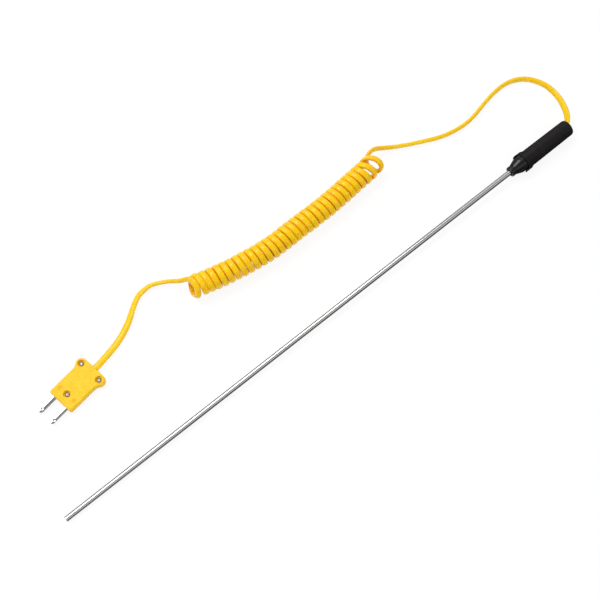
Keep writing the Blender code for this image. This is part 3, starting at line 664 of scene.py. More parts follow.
@dataclass(frozen=True)
class Jacket(Finish):
    """Glossy extruded cord jacket, with faint drawn lines along it, warmer patches and painted shade between
    its turns.

    The painted shade of the curly stretch is given as levels by share of the cord's length.
    """

    shade: Colour = (0.0, 0.0, 0.0)
    # Colour and levels along the cord of the painted shade in the grooves between the coil's turns.
    groove_shade: Colour = (1.0, 0.42, 0.003)
    groove_shade_levels: tuple[Point, ...] = ((0.118, 0.0), (0.135, 0.8), (0.925, 0.8), (0.94, 0.0))
    specular: float = 0.3
    glow: float = 0.25
    depth: float = 0.005 * MM

    def make(self) -> bpy.types.Material:
        """Lines along the cord from its UV map, and handling marks in the gloss.

        The curly stretch has painted shade at both edges of the flat cord, in the grooves where its turns
        touch: the share there follows cos 4 pi V from -1/2 to 1, with V running once round the cord.

        Returns:
            The material.
        """
        line_scale, patches, handling = (30.0, 14.0, 1.0), 420.0, 900.0
        nodes = Nodes(self.name)
        nodes.set(Specular_IOR_Level=self.specular)
        nodes.glow(self.glow)
        lines = nodes.noise(nodes.stretched("UV", line_scale), 1.0, 4.0)
        place = nodes.stretched("Object", (1.0, 1.0, 1.0))
        colour = nodes.ramp(nodes.noise(place, patches), [(0.3, self.shade), (0.6, self.colour)])
        # Painted shade: a deeper orange at both edges of the flat cord, in the grooves between its coiled
        # turns.
        split = nodes.add("ShaderNodeSeparateXYZ", {0: nodes.add("ShaderNodeTexCoord").outputs["UV"]})
        edge = nodes.maths("COSINE", nodes.maths("MULTIPLY", split.outputs["Y"], 4 * math.pi))
        share = nodes.mapped(edge, (-0.5, 1.0), (0.0, 1.0))
        along = nodes.ramp(split.outputs["X"], [(at, (level, level, level)) for at, level in self.groove_shade_levels])
        nodes.feed("Base Color", nodes.mixed(nodes.maths("MULTIPLY", share, along), colour, self.groove_shade))
        gloss = nodes.span(nodes.noise(place, handling), self.roughness * 0.8, self.roughness * 1.3)
        nodes.feed("Roughness", gloss)
        nodes.bump(lines, self.depth)
        return nodes.made


class Look(Enum):
    """The finishes of the probe's pieces."""

    STEEL = DrawnMetal("drawn_steel", "brushed_steel", (0.68, 0.68, 0.69), 0.16, 1.0, lines=48.0)
    BLADE = DrawnMetal(
        "blade_alloy", "nickel", (0.62, 0.62, 0.63), 0.13, 1.0, lines=24.0, length_share=1.0,
        depth=0.001 * MM,
    )
    SCREW = Finish("screw_plate", "nickel", (0.4, 0.4, 0.42), 0.3, 1.0)
    WIRE = Finish("wire_alloy", "nickel", (0.64, 0.62, 0.58), 0.3, 1.0)
    BRASS = Finish("turned_brass", "brass", (0.76, 0.55, 0.24), 0.3, 1.0)
    CERAMIC = Finish("fired_ceramic", "ceramic", (0.83, 0.8, 0.73), 0.6)
    RUBBER = Finish("bush_rubber", "black_rubber", (0.02, 0.02, 0.02), 0.7)
    CORE = Finish("core_insulation", "core_jacket", (0.75, 0.72, 0.68), 0.5)
    NOSE = Moulded(
        "black_gloss", "black_plastic", (0.009, 0.0085, 0.0088), 0.13, shade=(0.006, 0.0055, 0.006),
        depth=0.003 * MM, specular=0.4,
    )
    GRIP = Moulded(
        "black_satin", "black_plastic", (0.0105, 0.0088, 0.0095), 0.5, shade=(0.0075, 0.0065, 0.007),
        depth=0.016 * MM, specular=0.17,
    )
    SHELL = Moulded(
        "yellow_shell", "yellow_plastic", (1.0, 0.65, 0.03), 0.5, shade=(1.0, 0.6, 0.02),
        specular=0.2, glow=0.2,
    )
    CORD = Jacket("cord_jacket", "yellow_jacket", (1.0, 0.64, 0.005), 0.24, shade=(1.0, 0.58, 0.004))


NODE_LOOKS = {
    Look.WIRE: ("positive_wire", "negative_wire", "measuring_junction"),
    Look.BRASS: (
        "sheath_ferrule", "positive_splice", "negative_splice", "terminal_screw_positive",
        "terminal_screw_negative", "cover_nut_front", "cover_nut_left", "cover_nut_right",
    ),
    Look.CERAMIC: ("two_hole_insulator",),
    Look.RUBBER: ("cord_bush",),
    Look.CORE: ("handle_core_positive", "handle_core_negative", "plug_core_positive", "plug_core_negative"),
}

HELD_BY_PLUG = (
    "terminal_screw_positive", "terminal_screw_negative", "plug_core_positive", "plug_core_negative",
    "cover_nut_front", "cover_nut_left", "cover_nut_right",
)


# The probe's parts


@dataclass(frozen=True)
class Probe:
    """The sheath and handle, modelled along X from the sheath's tip and laid down on the table."""

    sheath_radius: float = 1.5 * MM
    sheath_bore: float = 1.1 * MM
    sheath_shown: float = 301.0 * MM
    sheath_end: float = 312.0 * MM
    tip_wall: float = 1.0 * MM
    tip_round: float = 0.2 * MM
    ring_radius: float = 3.0 * MM
    ring_length: float = 2.0 * MM
    neck_radius: float = 2.7 * MM
    neck_length: float = 0.5 * MM
    cone_radius: float = 3.05 * MM
    cone_length: float = 4.4 * MM
    body_radius: float = 4.65 * MM
    body_length: float = 2.6 * MM
    nose_bore: float = 1.8 * MM
    nose_lead_in: float = 0.35 * MM
    nose_wall: float = 0.8 * MM
    nose_depth: float = 7.0 * MM
    spigot_radius: float = 3.35 * MM
    spigot_length: float = 7.5 * MM
    grip_gap: float = 0.3 * MM
    grip_front: float = 5.0 * MM
    grip_rear: float = 4.75 * MM
    grip_length: float = 34.7 * MM
    grip_bore: float = 3.55 * MM
    grip_socket: float = 6.0 * MM
    mouth_radius: float = 3.25 * MM
    mouth_depth: float = 1.9 * MM
    mouth_run: float = 2.5 * MM
    rear_round: float = 1.5 * MM
    ear_reach: float = 5.55 * MM
    ear_forward: float = 2.35 * MM
    ear_back: float = 2.5 * MM
    ear_taper: float = 3.0 * MM
    ear_height: float = 2.8 * MM
    ear_nose: float = 1.0 * MM
    ear_sunk: float = 0.5 * MM
    ear_squareness: float = 0.45

    @property
    def grip_start(self) -> float:
        """Where the grip begins, from the tip."""
        nose = self.ring_length + self.neck_length + self.cone_length + self.body_length
        return self.sheath_shown + nose + self.grip_gap

    @property
    def grip_end(self) -> float:
        """Where the grip ends, from the tip."""
        return self.grip_start + self.grip_length

    @property
    def lay_angle(self) -> float:
        """How far the probe's axis rises, with its tip and the front of its grip on the table."""
        return math.asin((self.grip_front - self.sheath_radius) / self.grip_start)

    @property
    def place(self) -> Place:
        """The probe's own axes in the row frame, from its lowest solid corner at the tip.

        Returns:
            Its place.
        """
        tip_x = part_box("probe_sheath")[0].x + self.sheath_radius * math.sin(self.lay_angle)
        lift = self.sheath_radius * math.cos(self.lay_angle)
        return Place(Matrix.Translation((tip_x, 0.0, lift)) @ Matrix.Rotation(-self.lay_angle, 4, "Y"))

    @property
    def mouth(self) -> Vector:
        """The middle of the handle's mouth, on the table."""
        x = self.place.matrix.translation.x + self.grip_end * math.cos(self.lay_angle)
        return Vector((x, 0.0, 0.0))

    def laid(self, name: str, points: np.ndarray, loop: bool = False) -> Mesh:
        """A mesh over rows of points in the probe's own frame."""
        return grid_mesh(name, self.place.put(points), loop=loop)

    def sheath(self) -> Piece:
        """The drawn tube: its closed tip has a small round all the way round.

        Returns:
            The piece, which stands for the sheath.
        """
        profile = rounded(
            [
                (0.0, 0.0, 0.0),
                (0.0, self.sheath_radius, self.tip_round),
                (self.sheath_end, self.sheath_radius, 0.0),
                (self.sheath_end, self.sheath_bore, 0.0),
                (self.tip_wall, self.sheath_bore, 0.0),
                (self.tip_wall, 0.0, 0.0),
            ]
        )
        mesh = self.laid("sheath", turned(profile, 48))
        return Piece("sheath", mesh, Look.STEEL.value, ("probe_sheath",))

    def nose(self) -> Piece:
        """The nose cap: a ring with rounded edges, a narrow neck, a cone that swells into a short body.

        Returns:
            The piece, which stands for the nose cap.
        """
        ring = self.sheath_shown
        neck = ring + self.ring_length
        cone = neck + self.neck_length
        body = cone + self.cone_length
        shoulder = body + self.body_length
        end = shoulder + self.spigot_length
        lead_in, socket = ring + self.nose_lead_in, self.nose_bore + self.nose_wall
        profile = rounded(
            [
                (lead_in, self.nose_bore, 0.0),
                (ring, self.nose_bore + self.nose_lead_in, 0.1 * MM),
                (ring, self.ring_radius, 0.55 * MM),
                (neck, self.ring_radius, 0.4 * MM),
                (neck, self.neck_radius, 0.08 * MM),
                (cone, self.neck_radius, 0.08 * MM),
                (cone, self.cone_radius, 0.25 * MM),
                (body, self.body_radius, 1.6 * MM),
                (shoulder, self.body_radius, 0.15 * MM),
                (shoulder, self.spigot_radius, 0.0),
                (end, self.spigot_radius, 0.0),
                (end, socket, 0.0),
                (ring + self.nose_depth, socket, 0.0),
                (ring + self.nose_depth, self.nose_bore, 0.0),
                (lead_in, self.nose_bore, 0.0),
            ]
        )[:-1]
        mesh = self.laid("nose", turned(profile, 96), loop=True)
        return Piece("nose", mesh, Look.NOSE.value, ("nose_cap",))

    def grip(self) -> Piece:
        """The grip: a hollow tube that tapers to a rounded rear end with an open mouth.

        Returns:
            The piece, which stands for the grip.
        """
        start, end = self.grip_start, self.grip_end
        profile = rounded(
            [
                (start + self.grip_socket, self.grip_bore, 0.0),
                (start, self.grip_bore, 0.1 * MM),
                (start, self.grip_front, 0.35 * MM),
                (end, self.grip_rear, self.rear_round),
                (end, self.mouth_radius, 0.3 * MM),
                (end - self.mouth_depth, self.mouth_radius, 0.2 * MM),
                (end - self.mouth_run, self.grip_bore, 0.0),
                (start + self.grip_socket, self.grip_bore, 0.0),
            ],
            steps=7,
        )[:-1]
        mesh = self.laid("grip", turned(profile, 96), loop=True)
        return Piece("grip", mesh, Look.GRIP.value, ("handle_grip",))

    def ear(self, side: float) -> Mesh:
        """One finger ear: a lug beside the nose that runs back into the grip.

        Its section at each station is a superellipse between the nose's room and the reach there,
        and the reach follows a rounded front, a straight side and a falling curve behind.

        Args:
            side: 1 for the +Y side, -1 for the -Y side.

        Returns:
            The ear's mesh.
        """
        front = self.grip_start - self.ear_forward
        tail = self.grip_start + self.ear_back + self.ear_taper
        x = front + (tail - front) * np.linspace(0, 1, 60) ** 1.5
        rise = np.sqrt(1 - (1 - np.clip((x - front) / self.ear_nose, 0, 1)) ** 2)
        fall = np.clip((x - (tail - self.ear_taper)) / self.ear_taper, 0, 1)
        base = self.grip_front - self.ear_sunk
        reach = base + (self.ear_reach - base) * (1 - fall) ** 1.5
        beside_nose, in_grip = self.body_radius + 0.3 * MM, self.grip_bore + 0.4 * MM
        inner = np.where(x < self.grip_start + 0.1 * MM, beside_nose, in_grip)
        shrunk = 0.35 + 0.65 * rise
        shrunk[0] = 0.0
        angle = np.linspace(0, math.tau, 48, endpoint=False)
        shape_y = squared(np.cos(angle), self.ear_squareness)
        shape_z = squared(np.sin(angle), self.ear_squareness)
        middle, half = (reach + inner) / 2, np.maximum(reach - inner, 0.2 * MM) / 2
        y = middle[:, None] + half[:, None] * shape_y * np.where(shape_y > 0, shrunk[:, None], 1.0)
        z = self.ear_height / 2 * (0.78 + 0.22 * rise)[:, None] * shape_z
        z[0] *= 0.9
        points = np.stack([np.repeat(x[:, None], len(angle), axis=1), side * y, z], axis=-1)
        return self.laid("ear", points)

    def ears(self) -> list[Piece]:
        """Both finger ears, which are parts of the grip's solid.

        Returns:
            The pieces, left one first.
        """
        return [
            Piece(f"grip_ear_{name}", self.ear(side), Look.GRIP.value)
            for name, side in (("left", 1.0), ("right", -1.0))
        ]

    def build(self) -> None:
        """Shows the sheath, the nose and the grip with its ears."""
        for piece in (self.sheath(), self.nose(), self.grip(), *self.ears()):
            piece.show()


@dataclass(frozen=True)
class Screw:
    """A cover screw: a low domed head with a cross recess, on a plain shank."""

    head_radius: float = 1.25 * MM
    head_height: float = 0.8 * MM
    shank_radius: float = 0.75 * MM
    floor: float = 3.5 * MM
    tip: float = 0.3 * MM
    cross_length: float = 1.7 * MM
    cross_width: float = 0.42 * MM
    cross_depth: float = 0.4 * MM
    cross_taper: float = 0.12 * MM

    def mesh(self, place: Place, x: float, y: float, turn: float) -> Mesh:
        """The screw standing at a place of the plug.

        Args:
            place: The plug's place.
            x: Distance from the plug's front.
            y: Distance to the plug's left.
            turn: How far the cross is turned, in degrees.

        Returns:
            The screw's mesh.
        """
        top = self.floor + self.head_height
        profile = rounded(
            [
                (self.tip, 0.0, 0.0),
                (self.tip, self.shank_radius, 0.1 * MM),
                (self.floor, self.shank_radius, 0.0),
                (self.floor, self.head_radius, 0.08 * MM),
                (self.floor + 0.45 * self.head_height, self.head_radius, 0.25 * MM),
                (top, 0.45 * self.head_radius, 0.3 * MM),
                (top, 0.0, 0.0),
            ],
            steps=4,
        )
        upright = turned(profile, 40)[..., [2, 1, 0]]
        half = np.array([[-1, -1], [1, -1], [1, 1], [-1, 1]]) * [self.cross_length / 2, self.cross_width / 2]
        floor, flank = top - self.cross_depth, top - 0.25 * self.cross_depth
        levels = np.array([[self.cross_taper, floor], [0.0, flank], [0.0, top + MM]])
        cross = []
        for angle in (turn, turn + 90):
            cosine, sine = math.cos(math.radians(angle)), math.sin(math.radians(angle))
            bar = half @ np.array([[cosine, sine], [-sine, cosine]])
            cross.append(grid_mesh("cross", place.put(rim_swept(bar, levels) + [x, y, 0.0])))
        return carve(grid_mesh("screw", place.put(upright + [x, y, 0.0])), cross)


@dataclass(frozen=True)
class Plug:
    """The flat two-blade plug, in its own frame: X from its front face to its rear, Z up."""

    mouth: Vector
    azimuth: float = math.radians(8.5)
    rear: Point = (-289.1 * MM, 54.3 * MM)
    length: float = 24.7 * MM
    width: float = 15.8 * MM
    thickness: float = 4.7 * MM
    parting: float = 0.2 * MM
    corner: float = 1.3 * MM
    top_round: float = 0.9 * MM
    bottom_round: float = 1.0 * MM
    ear_radius: float = 3.15 * MM
    ear_side: float = 6.55 * MM
    ear_blend: float = 5.0 * MM
    front_screw: float = 5.3 * MM
    well_radius: float = 1.95 * MM
    well_floor: float = 3.4 * MM
    well_edge: float = 0.2 * MM
    shank_hole: float = 0.95 * MM
    nut_hole: float = 1.72 * MM
    nut_depth: float = 1.6 * MM
    channel_width: float = 4.2 * MM
    channel_height: float = 2.9 * MM
    channel_depth: float = 8.0 * MM
    mark_front: float = 5.1 * MM
    mark_side: float = 5.3 * MM
    mark_half: Spot = (1.25 * MM, 0.75 * MM, 0.28 * MM)
    blade_side: float = 4.5 * MM
    blade_reach: float = 10.8 * MM
    blade_held: float = 13.0 * MM
    blade_thickness: float = 0.8 * MM
    blade_room: float = 0.3 * MM
    blade_fall: float = 0.32 * MM
    dimple_place: float = 2.2 * MM
    dimple_radius: float = 0.85 * MM
    dimple_depth: float = 0.3 * MM
    screw: Screw = field(default_factory=Screw)

    @property
    def place(self) -> Place:
        """The plug's own axes in the row frame, from the middle of its rear edge.

        Returns:
            Its place.
        """
        away = Vector((math.cos(self.azimuth), math.sin(self.azimuth), 0.0))
        front = self.mouth + Vector((*self.rear, 0.0)) - away * self.length
        return Place(Matrix.Translation(front) @ Matrix.Rotation(self.azimuth, 4, "Z"))

    @property
    def middle(self) -> float:
        """Height of the parting plane."""
        return self.thickness / 2

    @property
    def ear_front(self) -> float:
        """Distance from the front face to the middle of the ears."""
        return self.length - self.ear_radius

    def outline(self) -> np.ndarray:
        """The plug from above, anticlockwise.

        Straight sides sweep out into two round ears: the sweep is an arc that touches the side and
        the ear's circle.

        Returns:
            The outline's points.
        """
        half = self.width / 2
        rise = half + self.ear_blend - self.ear_side
        run = math.sqrt((self.ear_radius + self.ear_blend) ** 2 - rise**2)
        blend_x = self.ear_front - run
        touch = math.degrees(math.atan2(-rise, run))
        side = np.concatenate(
            [
                arc((self.corner, half - self.corner), self.corner, 180, 90, 10),
                np.stack([np.linspace(self.corner, blend_x, 14)[1:-1], np.full(12, half)], axis=1),
                arc((blend_x, half + self.ear_blend), self.ear_blend, -90, touch, 12),
                arc((self.ear_front, self.ear_side), self.ear_radius, touch + 180, 0, 32)[1:],
            ]
        )
        return np.concatenate([side * [1, -1], side[::-1]])

    def upright(self, x: float, y: float, profile: Sequence[Point], steps: int = 48) -> Mesh:
        """A turned shape on an upright axis.

        Args:
            x: The axis's distance from the plug's front.
            y: Its distance to the plug's left.
            profile: Points as (height, radius).
            steps: Points on each circle.

        Returns:
            The shape's mesh.
        """
        points = turned(np.array(profile), steps)[..., [2, 1, 0]] + [x, y, 0.0]
        return grid_mesh("cutter", self.place.put(points))

    def channel(self) -> Mesh:
        """The cord's way into the plug, a flat round-sided hole along X.

        Returns:
            The hole's mesh.
        """
        section = oval_section(self.channel_width, self.channel_height)
        x = np.array([self.length - self.channel_depth, self.length + MM])
        flat = np.broadcast_to(section, (2, *section.shape))
        along = np.repeat(x[:, None], len(section), axis=1)
        points = np.stack([along, flat[..., 0], flat[..., 1] + self.middle], axis=-1)
        return grid_mesh("channel", self.place.put(points))

    def blade_slot(self, y: float, width: float) -> Mesh:
        """Room for a blade through the front wall.

        Args:
            y: The blade's distance to the plug's left.
            width: The blade's width.

        Returns:
            The room's mesh.
        """
        high = self.blade_thickness / 2 + 0.1 * MM
        right, left = y - (width + self.blade_room) / 2, y + (width + self.blade_room) / 2
        box = np.array([[-MM, right], [self.blade_held, right], [self.blade_held, left], [-MM, left]])
        levels = np.array([[0.0, self.middle - high], [0.0, self.middle + high]])
        return grid_mesh("slot", self.place.put(rim_swept(box, levels)))

    def mark(self, side: float) -> Mesh:
        """What a shallow oblong dimple beside the front screw is cut with: an ellipsoid.

        Args:
            side: 1 for the left dimple, -1 for the right one.

        Returns:
            The ellipsoid's mesh.
        """
        polar = np.linspace(0, math.pi, 14)[:, None]
        angles = np.linspace(0, math.tau, 32, endpoint=False)
        long, wide, deep = self.mark_half
        x, y = long * np.sin(polar) * np.cos(angles), wide * np.sin(polar) * np.sin(angles)
        z = np.repeat(deep * np.cos(polar), len(angles), axis=1)
        points = np.stack([x, y, z], axis=-1) + [self.mark_front, side * self.mark_side, self.thickness]
        return grid_mesh("mark", self.place.put(points))

    def screw_places(self) -> list[tuple[str, float, float, float]]:
        """Where the cover screws stand.

        Returns:
            Name, distance from the front, distance to the left and turn of the cross for each.
        """
        return [
            ("front", self.front_screw, 0.0, 20.0),
            ("left", self.ear_front, self.ear_side, 58.0),
            ("right", self.ear_front, -self.ear_side, 5.0),
        ]

    def blades(self) -> list[tuple[str, float, float]]:
        """Name, side and width of each blade."""
        return [("negative", self.blade_side, 3.1 * MM), ("positive", -self.blade_side, 2.3 * MM)]

    def slots(self) -> list[Mesh]:
        """Room for both blades."""
        return [self.blade_slot(y, width) for _, y, width in self.blades()]

    def cover(self) -> Piece:
        """The upper shell, with soft upper edges, screw wells with broken edges and two marks.

        Returns:
            The piece, which stands for the plug's upper shell.
        """
        low, high, inset = self.middle + self.parting / 2, self.thickness, 0.5 * MM
        cut = self.top_round
        angles = np.radians(np.linspace(0, 90, 9))
        edge = np.stack([cut * (1 - np.cos(angles)), high - cut * (1 - np.sin(angles))], axis=1)
        profile = np.concatenate([[[inset, low], [0.0, low]], edge])
        mesh = grid_mesh("cover", self.place.put(rim_swept(self.outline(), profile)))
        below, above, radius, rim = low - MM, high + MM, self.well_radius, self.well_radius + self.well_edge
        well = [
            (below, 0.0), (below, self.shank_hole), (self.well_floor, self.shank_hole),
            (self.well_floor, radius - 0.08 * MM), (high - 0.18 * MM, radius), (high + 0.02 * MM, rim),
            (above, rim), (above, 0.0),
        ]
        cutters = [self.channel(), *(self.mark(side) for side in (1.0, -1.0)), *self.slots()]
        cutters += [self.upright(x, y, well) for _, x, y, _ in self.screw_places()]
        # Painted shade, a deeper orange, in and around the two mark dimples.
        spots = np.array([[self.mark_front, side * self.mark_side, high] for side in (1.0, -1.0)])
        painted_shades = tuple(tuple(float(part) for part in spot) for spot in self.place.put(spots))
        finish = replace(Look.SHELL.value, name="yellow_cover", painted_shades=painted_shades)
        return Piece("plug_cover", carve(mesh, cutters), finish, ("plug_upper_shell",), sharp=40.0)

    def base(self) -> Piece:
        """The lower shell, with holes for the screws and their nuts.

        Returns:
            The piece, which stands for the plug's lower shell.
        """
        high, inset = self.middle - self.parting / 2, 0.5 * MM
        cut = self.bottom_round
        angles = np.radians(np.linspace(90, 0, 6))
        edge = np.stack([cut * (1 - np.cos(angles)), cut * (1 - np.sin(angles))], axis=1)
        profile = np.concatenate([edge, [[0.0, high], [inset, high]]])
        mesh = grid_mesh("base", self.place.put(rim_swept(self.outline(), profile)))
        cutters = [self.channel(), *self.slots()]
        for _, x, y, _ in self.screw_places():
            for radius, top, steps in ((self.shank_hole, 4 * MM, 24), (self.nut_hole, self.nut_depth, 6)):
                hole = [(-MM, 0.0), (-MM, radius), (top, radius), (top, 0.0)]
                cutters.append(self.upright(x, y, hole, steps))
        return Piece("plug_base", carve(mesh, cutters), Look.SHELL.value, ("plug_lower_shell",), sharp=40.0)

    def blade(self, name: str, y: float, width: float) -> Piece:
        """A blade: a crowned bar with a round tip and a pressed dimple near it.

        The section is a superellipse whose upper face falls towards its right edge by a power of the
        distance from the middle. Its half width follows a circle at the tip, and the upper face
        sinks by a smooth bell inside the dimple.

        Args:
            name: The blade's name.
            y: Its distance to the plug's left.
            width: Its width.

        Returns:
            The piece, which stands for the blade's solid.
        """
        half, dense = width / 2, 6 * MM
        whole = self.blade_reach + self.blade_held
        ease = np.concatenate([np.linspace(0, 1, 60) ** 2 * dense, np.linspace(dense, whole, 50)[1:]])
        tip = np.sqrt(np.clip(1 - (1 - np.clip(ease / half, 0, 1)) ** 2, 0, 1))[:, None]
        angle = np.linspace(0, math.tau, 96, endpoint=False)
        wide, tall = squared(np.cos(angle), 0.5), squared(np.sin(angle), 0.24)
        x = np.repeat((ease - self.blade_reach)[:, None], len(angle), axis=1)
        across = half * tip * wide
        height = self.blade_thickness / 2 * tall * (0.45 + 0.55 * tip)
        height -= self.blade_fall * np.clip(-across / half, 0, 1) ** 1.3 * (tall > 0)
        away = np.hypot(x + self.blade_reach - self.dimple_place, across) / self.dimple_radius
        height -= self.dimple_depth * np.clip(1 - away**2, 0, 1) ** 1.5 * (tall > 0)
        points = np.stack([x, y + across, self.middle + height], axis=-1)
        mesh = grid_mesh(name, self.place.put(points))
        return Piece(f"blade_{name}", mesh, Look.BLADE.value, (f"{name}_blade",))

    def build(self) -> list[bpy.types.Object]:
        """Shows the plug's pieces.

        Returns:
            The pieces shown.
        """
        pieces = [self.cover(), self.base(), *(self.blade(*blade) for blade in self.blades())]
        for name, x, y, turn in self.screw_places():
            mesh = self.screw.mesh(self.place, x, y, turn)
            pieces.append(Piece(f"screw_{name}", mesh, Look.SCREW.value, (f"cover_screw_{name}",)))
        return [piece.show() for piece in pieces]


@dataclass(frozen=True)
class Cord:
    """The flat twin cord: a lead from the handle, a curly stretch and a lead to the plug.

    The routes are in metres from the middle of the handle's mouth, on the table: X, Y, the height
    of the cord's middle, and how far it is turned from standing on its edge to lying flat, in
    degrees. A reach counts turns from its own end of the curly stretch: what it belongs to is full
    up to the first number and gone past the second.
    """

    mouth: Vector
    plug: Plug
    width: float = 3.7 * MM
    thickness: float = 2.3 * MM
    coil_radius: float = 6.5 * MM
    coil_lift: float = 0.05 * MM
    turns: int = 32
    first_phase: float = 75.0
    last_phase: float = -30.0
    plug_spread: float = 0.3
    plug_spread_reach: Point = (0.6, 2.0)
    plug_lean: float = 25.0
    plug_lean_reach: Point = (0.0, 1.7)
    plug_fan: float = 7.0
    plug_fan_reach: Point = (1.0, 4.0)
    plug_twist: float = 50.0
    plug_twist_reach: Point = (0.25, 1.0)
    handle_spread: float = 0.33
    handle_spread_reach: Point = (0.9, 2.0)
    handle_lean: float = 24.0
    handle_lean_reach: Point = (0.9, 2.1)
    handle_fan: float = 10.0
    handle_fan_reach: Point = (1.5, 5.0)
    turn_steps: int = 24
    step: float = 0.9 * MM
    blend_reach: float = 2.2 * MM
    upper: tuple[RoutePoint, ...] = (
        (-0.0125, 0.0, 0.0051, 0),
        (-0.009, 0.0, 0.0051, 0),
        (-0.005, 0.00015, 0.0051, -6),
        (-0.002, 0.00075, 0.0051, -14),
        (0.0012, 0.002, 0.0051, -24),
        (0.0045, 0.0046, 0.0047, -31),
        (0.0079, 0.0092, 0.0037, -32),
        (0.0101, 0.0138, 0.0029, -31),
        (0.0116, 0.0187, 0.0023, -25),
        (0.012, 0.0235, 0.002, -18),
        (0.0116, 0.0282, 0.0019, -12),
        (0.01, 0.0325, 0.0019, -9),
        (0.0077, 0.0364, 0.0019, -8),
        (0.0045, 0.0398, 0.0019, -7),
        (0.0005, 0.0422, 0.0019, -5),
        (-0.004, 0.0437, 0.0019, -3),
        (-0.0089, 0.0442, 0.0019, -1),
        (-0.019, 0.0433, 0.0019, 2),
        (-0.0292, 0.0411, 0.0019, 5),
        (-0.0391, 0.0394, 0.0019, 7),
        (-0.049, 0.0399, 0.0019, 7),
        (-0.0583, 0.0421, 0.0019, 8),
        (-0.0667, 0.0457, 0.0019, 14),
        (-0.0748, 0.0496, 0.0019, 18),
        (-0.083, 0.0539, 0.0022, 12),
        (-0.0873, 0.0561, 0.0031, 8),
        (-0.0911, 0.0575, 0.0048, 5),
        (-0.0945, 0.0582, 0.0066, 2),
        (-0.0974, 0.0581, 0.0072, 0),
    )
    coil: tuple[Point, ...] = (
        (-0.0989, 0.052),
        (-0.105, 0.051),
        (-0.1165, 0.05),
        (-0.1301, 0.0488),
        (-0.144, 0.0482),
        (-0.1585, 0.0482),
        (-0.1755, 0.048),
        (-0.1913, 0.0497),
        (-0.2071, 0.0526),
        (-0.2212, 0.0563),
        (-0.2242, 0.0571),
    )
    lower: tuple[RoutePoint, ...] = (
        (-0.2232, 0.0612, 0.0094, 0),
        (-0.2264, 0.0641, 0.0066, 6),
        (-0.2292, 0.0673, 0.0044, 12),
        (-0.2322, 0.07, 0.0028, 20),
        (-0.2357, 0.0722, 0.002, 27),
        (-0.2396, 0.0736, 0.00185, 37),
        (-0.2438, 0.0736, 0.0017, 50),
        (-0.2479, 0.0728, 0.00165, 52),
        (-0.2518, 0.0706, 0.00165, 51),
        (-0.2554, 0.0681, 0.00165, 53),
        (-0.2589, 0.0654, 0.00155, 65),
        (-0.2625, 0.0631, 0.00145, 78),
        (-0.2664, 0.061, 0.0014, 82),
        (-0.2704, 0.0593, 0.0014, 84),
        (-0.2744, 0.0579, 0.0015, 86),
        (-0.2784, 0.0567, 0.0018, 88),
        (-0.2825, 0.0557, 0.0021, 89),
    )

    def on_table(self, route: Sequence[RoutePoint]) -> np.ndarray:
        """Puts a route into the row frame.

        Args:
            route: Its points, as the fields give them.

        Returns:
            The points, with the turn in radians as the fourth number.
        """
        points = np.array(route, float)
        points[:, 0] += self.mouth.x
        points[:, 1] += self.mouth.y
        points[:, 3] = np.radians(points[:, 3])
        return points

    def helix(self) -> tuple[np.ndarray, np.ndarray]:
        """The curly stretch, from the handle's end to the plug's end.

        A circle is carried along the coil's middle line while its phase runs round: the cord goes
        from the +Y side over the top as it moves along +X. The last circles lean at both ends, with
        their tops towards +X, and fan out, with their near sides towards +X, and stand further
        apart there. The cord's wide direction is the circle's own axis, and twists towards its
        radius in the first circle at the plug's end.

        Returns:
            Points of the cord's middle, and the cord's wide direction at each of them.
        """
        height = self.coil_radius + self.coil_lift
        given = np.array([(self.mouth.x + x, self.mouth.y + y, height) for x, y in self.coil])
        line = spline(given[::-1], 0.5 * MM)
        travelled = run_length(line)
        last = 360.0 * self.turns + self.last_phase
        phase = np.radians(np.linspace(self.first_phase, last, self.turns * self.turn_steps))
        turn = (phase - phase[0]) / math.tau
        left = turn[-1] - turn
        pitch = 1 + self.plug_spread * fade(turn, *self.plug_spread_reach)
        pitch = pitch + self.handle_spread * fade(left, *self.handle_spread_reach) + 0.03 * np.sin(2.3 * turn)
        steps = (pitch[1:] + pitch[:-1]) / 2
        place = travelled[-1] * np.concatenate([[0.0], np.cumsum(steps)]) / np.sum(steps)
        centre = np.stack([np.interp(place, travelled, line[:, k]) for k in range(3)], axis=1)
        direction = tangents(line)
        along = unit(np.stack([np.interp(place, travelled, direction[:, k]) for k in range(3)], axis=1))
        up = np.array([0.0, 0.0, 1.0])
        side = np.cross(up, along)
        radius = self.coil_radius - self.thickness / 2 + 0.05 * MM * np.sin(1.7 * turn + 1.0)
        angles = (self.plug_lean, self.plug_fan, self.handle_lean, self.handle_fan)
        plug_lean, plug_fan, handle_lean, handle_fan = (math.tan(math.radians(angle)) for angle in angles)
        lean = plug_lean * fade(turn, *self.plug_lean_reach)
        lean = lean + handle_lean * fade(left, *self.handle_lean_reach)
        fan = plug_fan * fade(turn, *self.plug_fan_reach)
        fan = fan + handle_fan * fade(left, *self.handle_fan_reach)
        sway = radius * (lean * np.sin(phase) - fan * np.cos(phase))
        drop = 1 - 0.5 * lean**2
        points = (
            centre
            + (radius * np.cos(phase))[:, None] * side
            + (radius * np.sin(phase) * drop + 0.6 * MM * lean)[:, None] * up
            + sway[:, None] * along
        )
        normal = unit(along - lean[:, None] * up + fan[:, None] * side)
        radial = np.cos(phase)[:, None] * side + np.sin(phase)[:, None] * up
        twist = (math.radians(self.plug_twist) * fade(turn, *self.plug_twist_reach))[:, None]
        wide = np.cos(twist) * normal + np.sin(twist) * radial
        return points[::-1], wide[::-1]

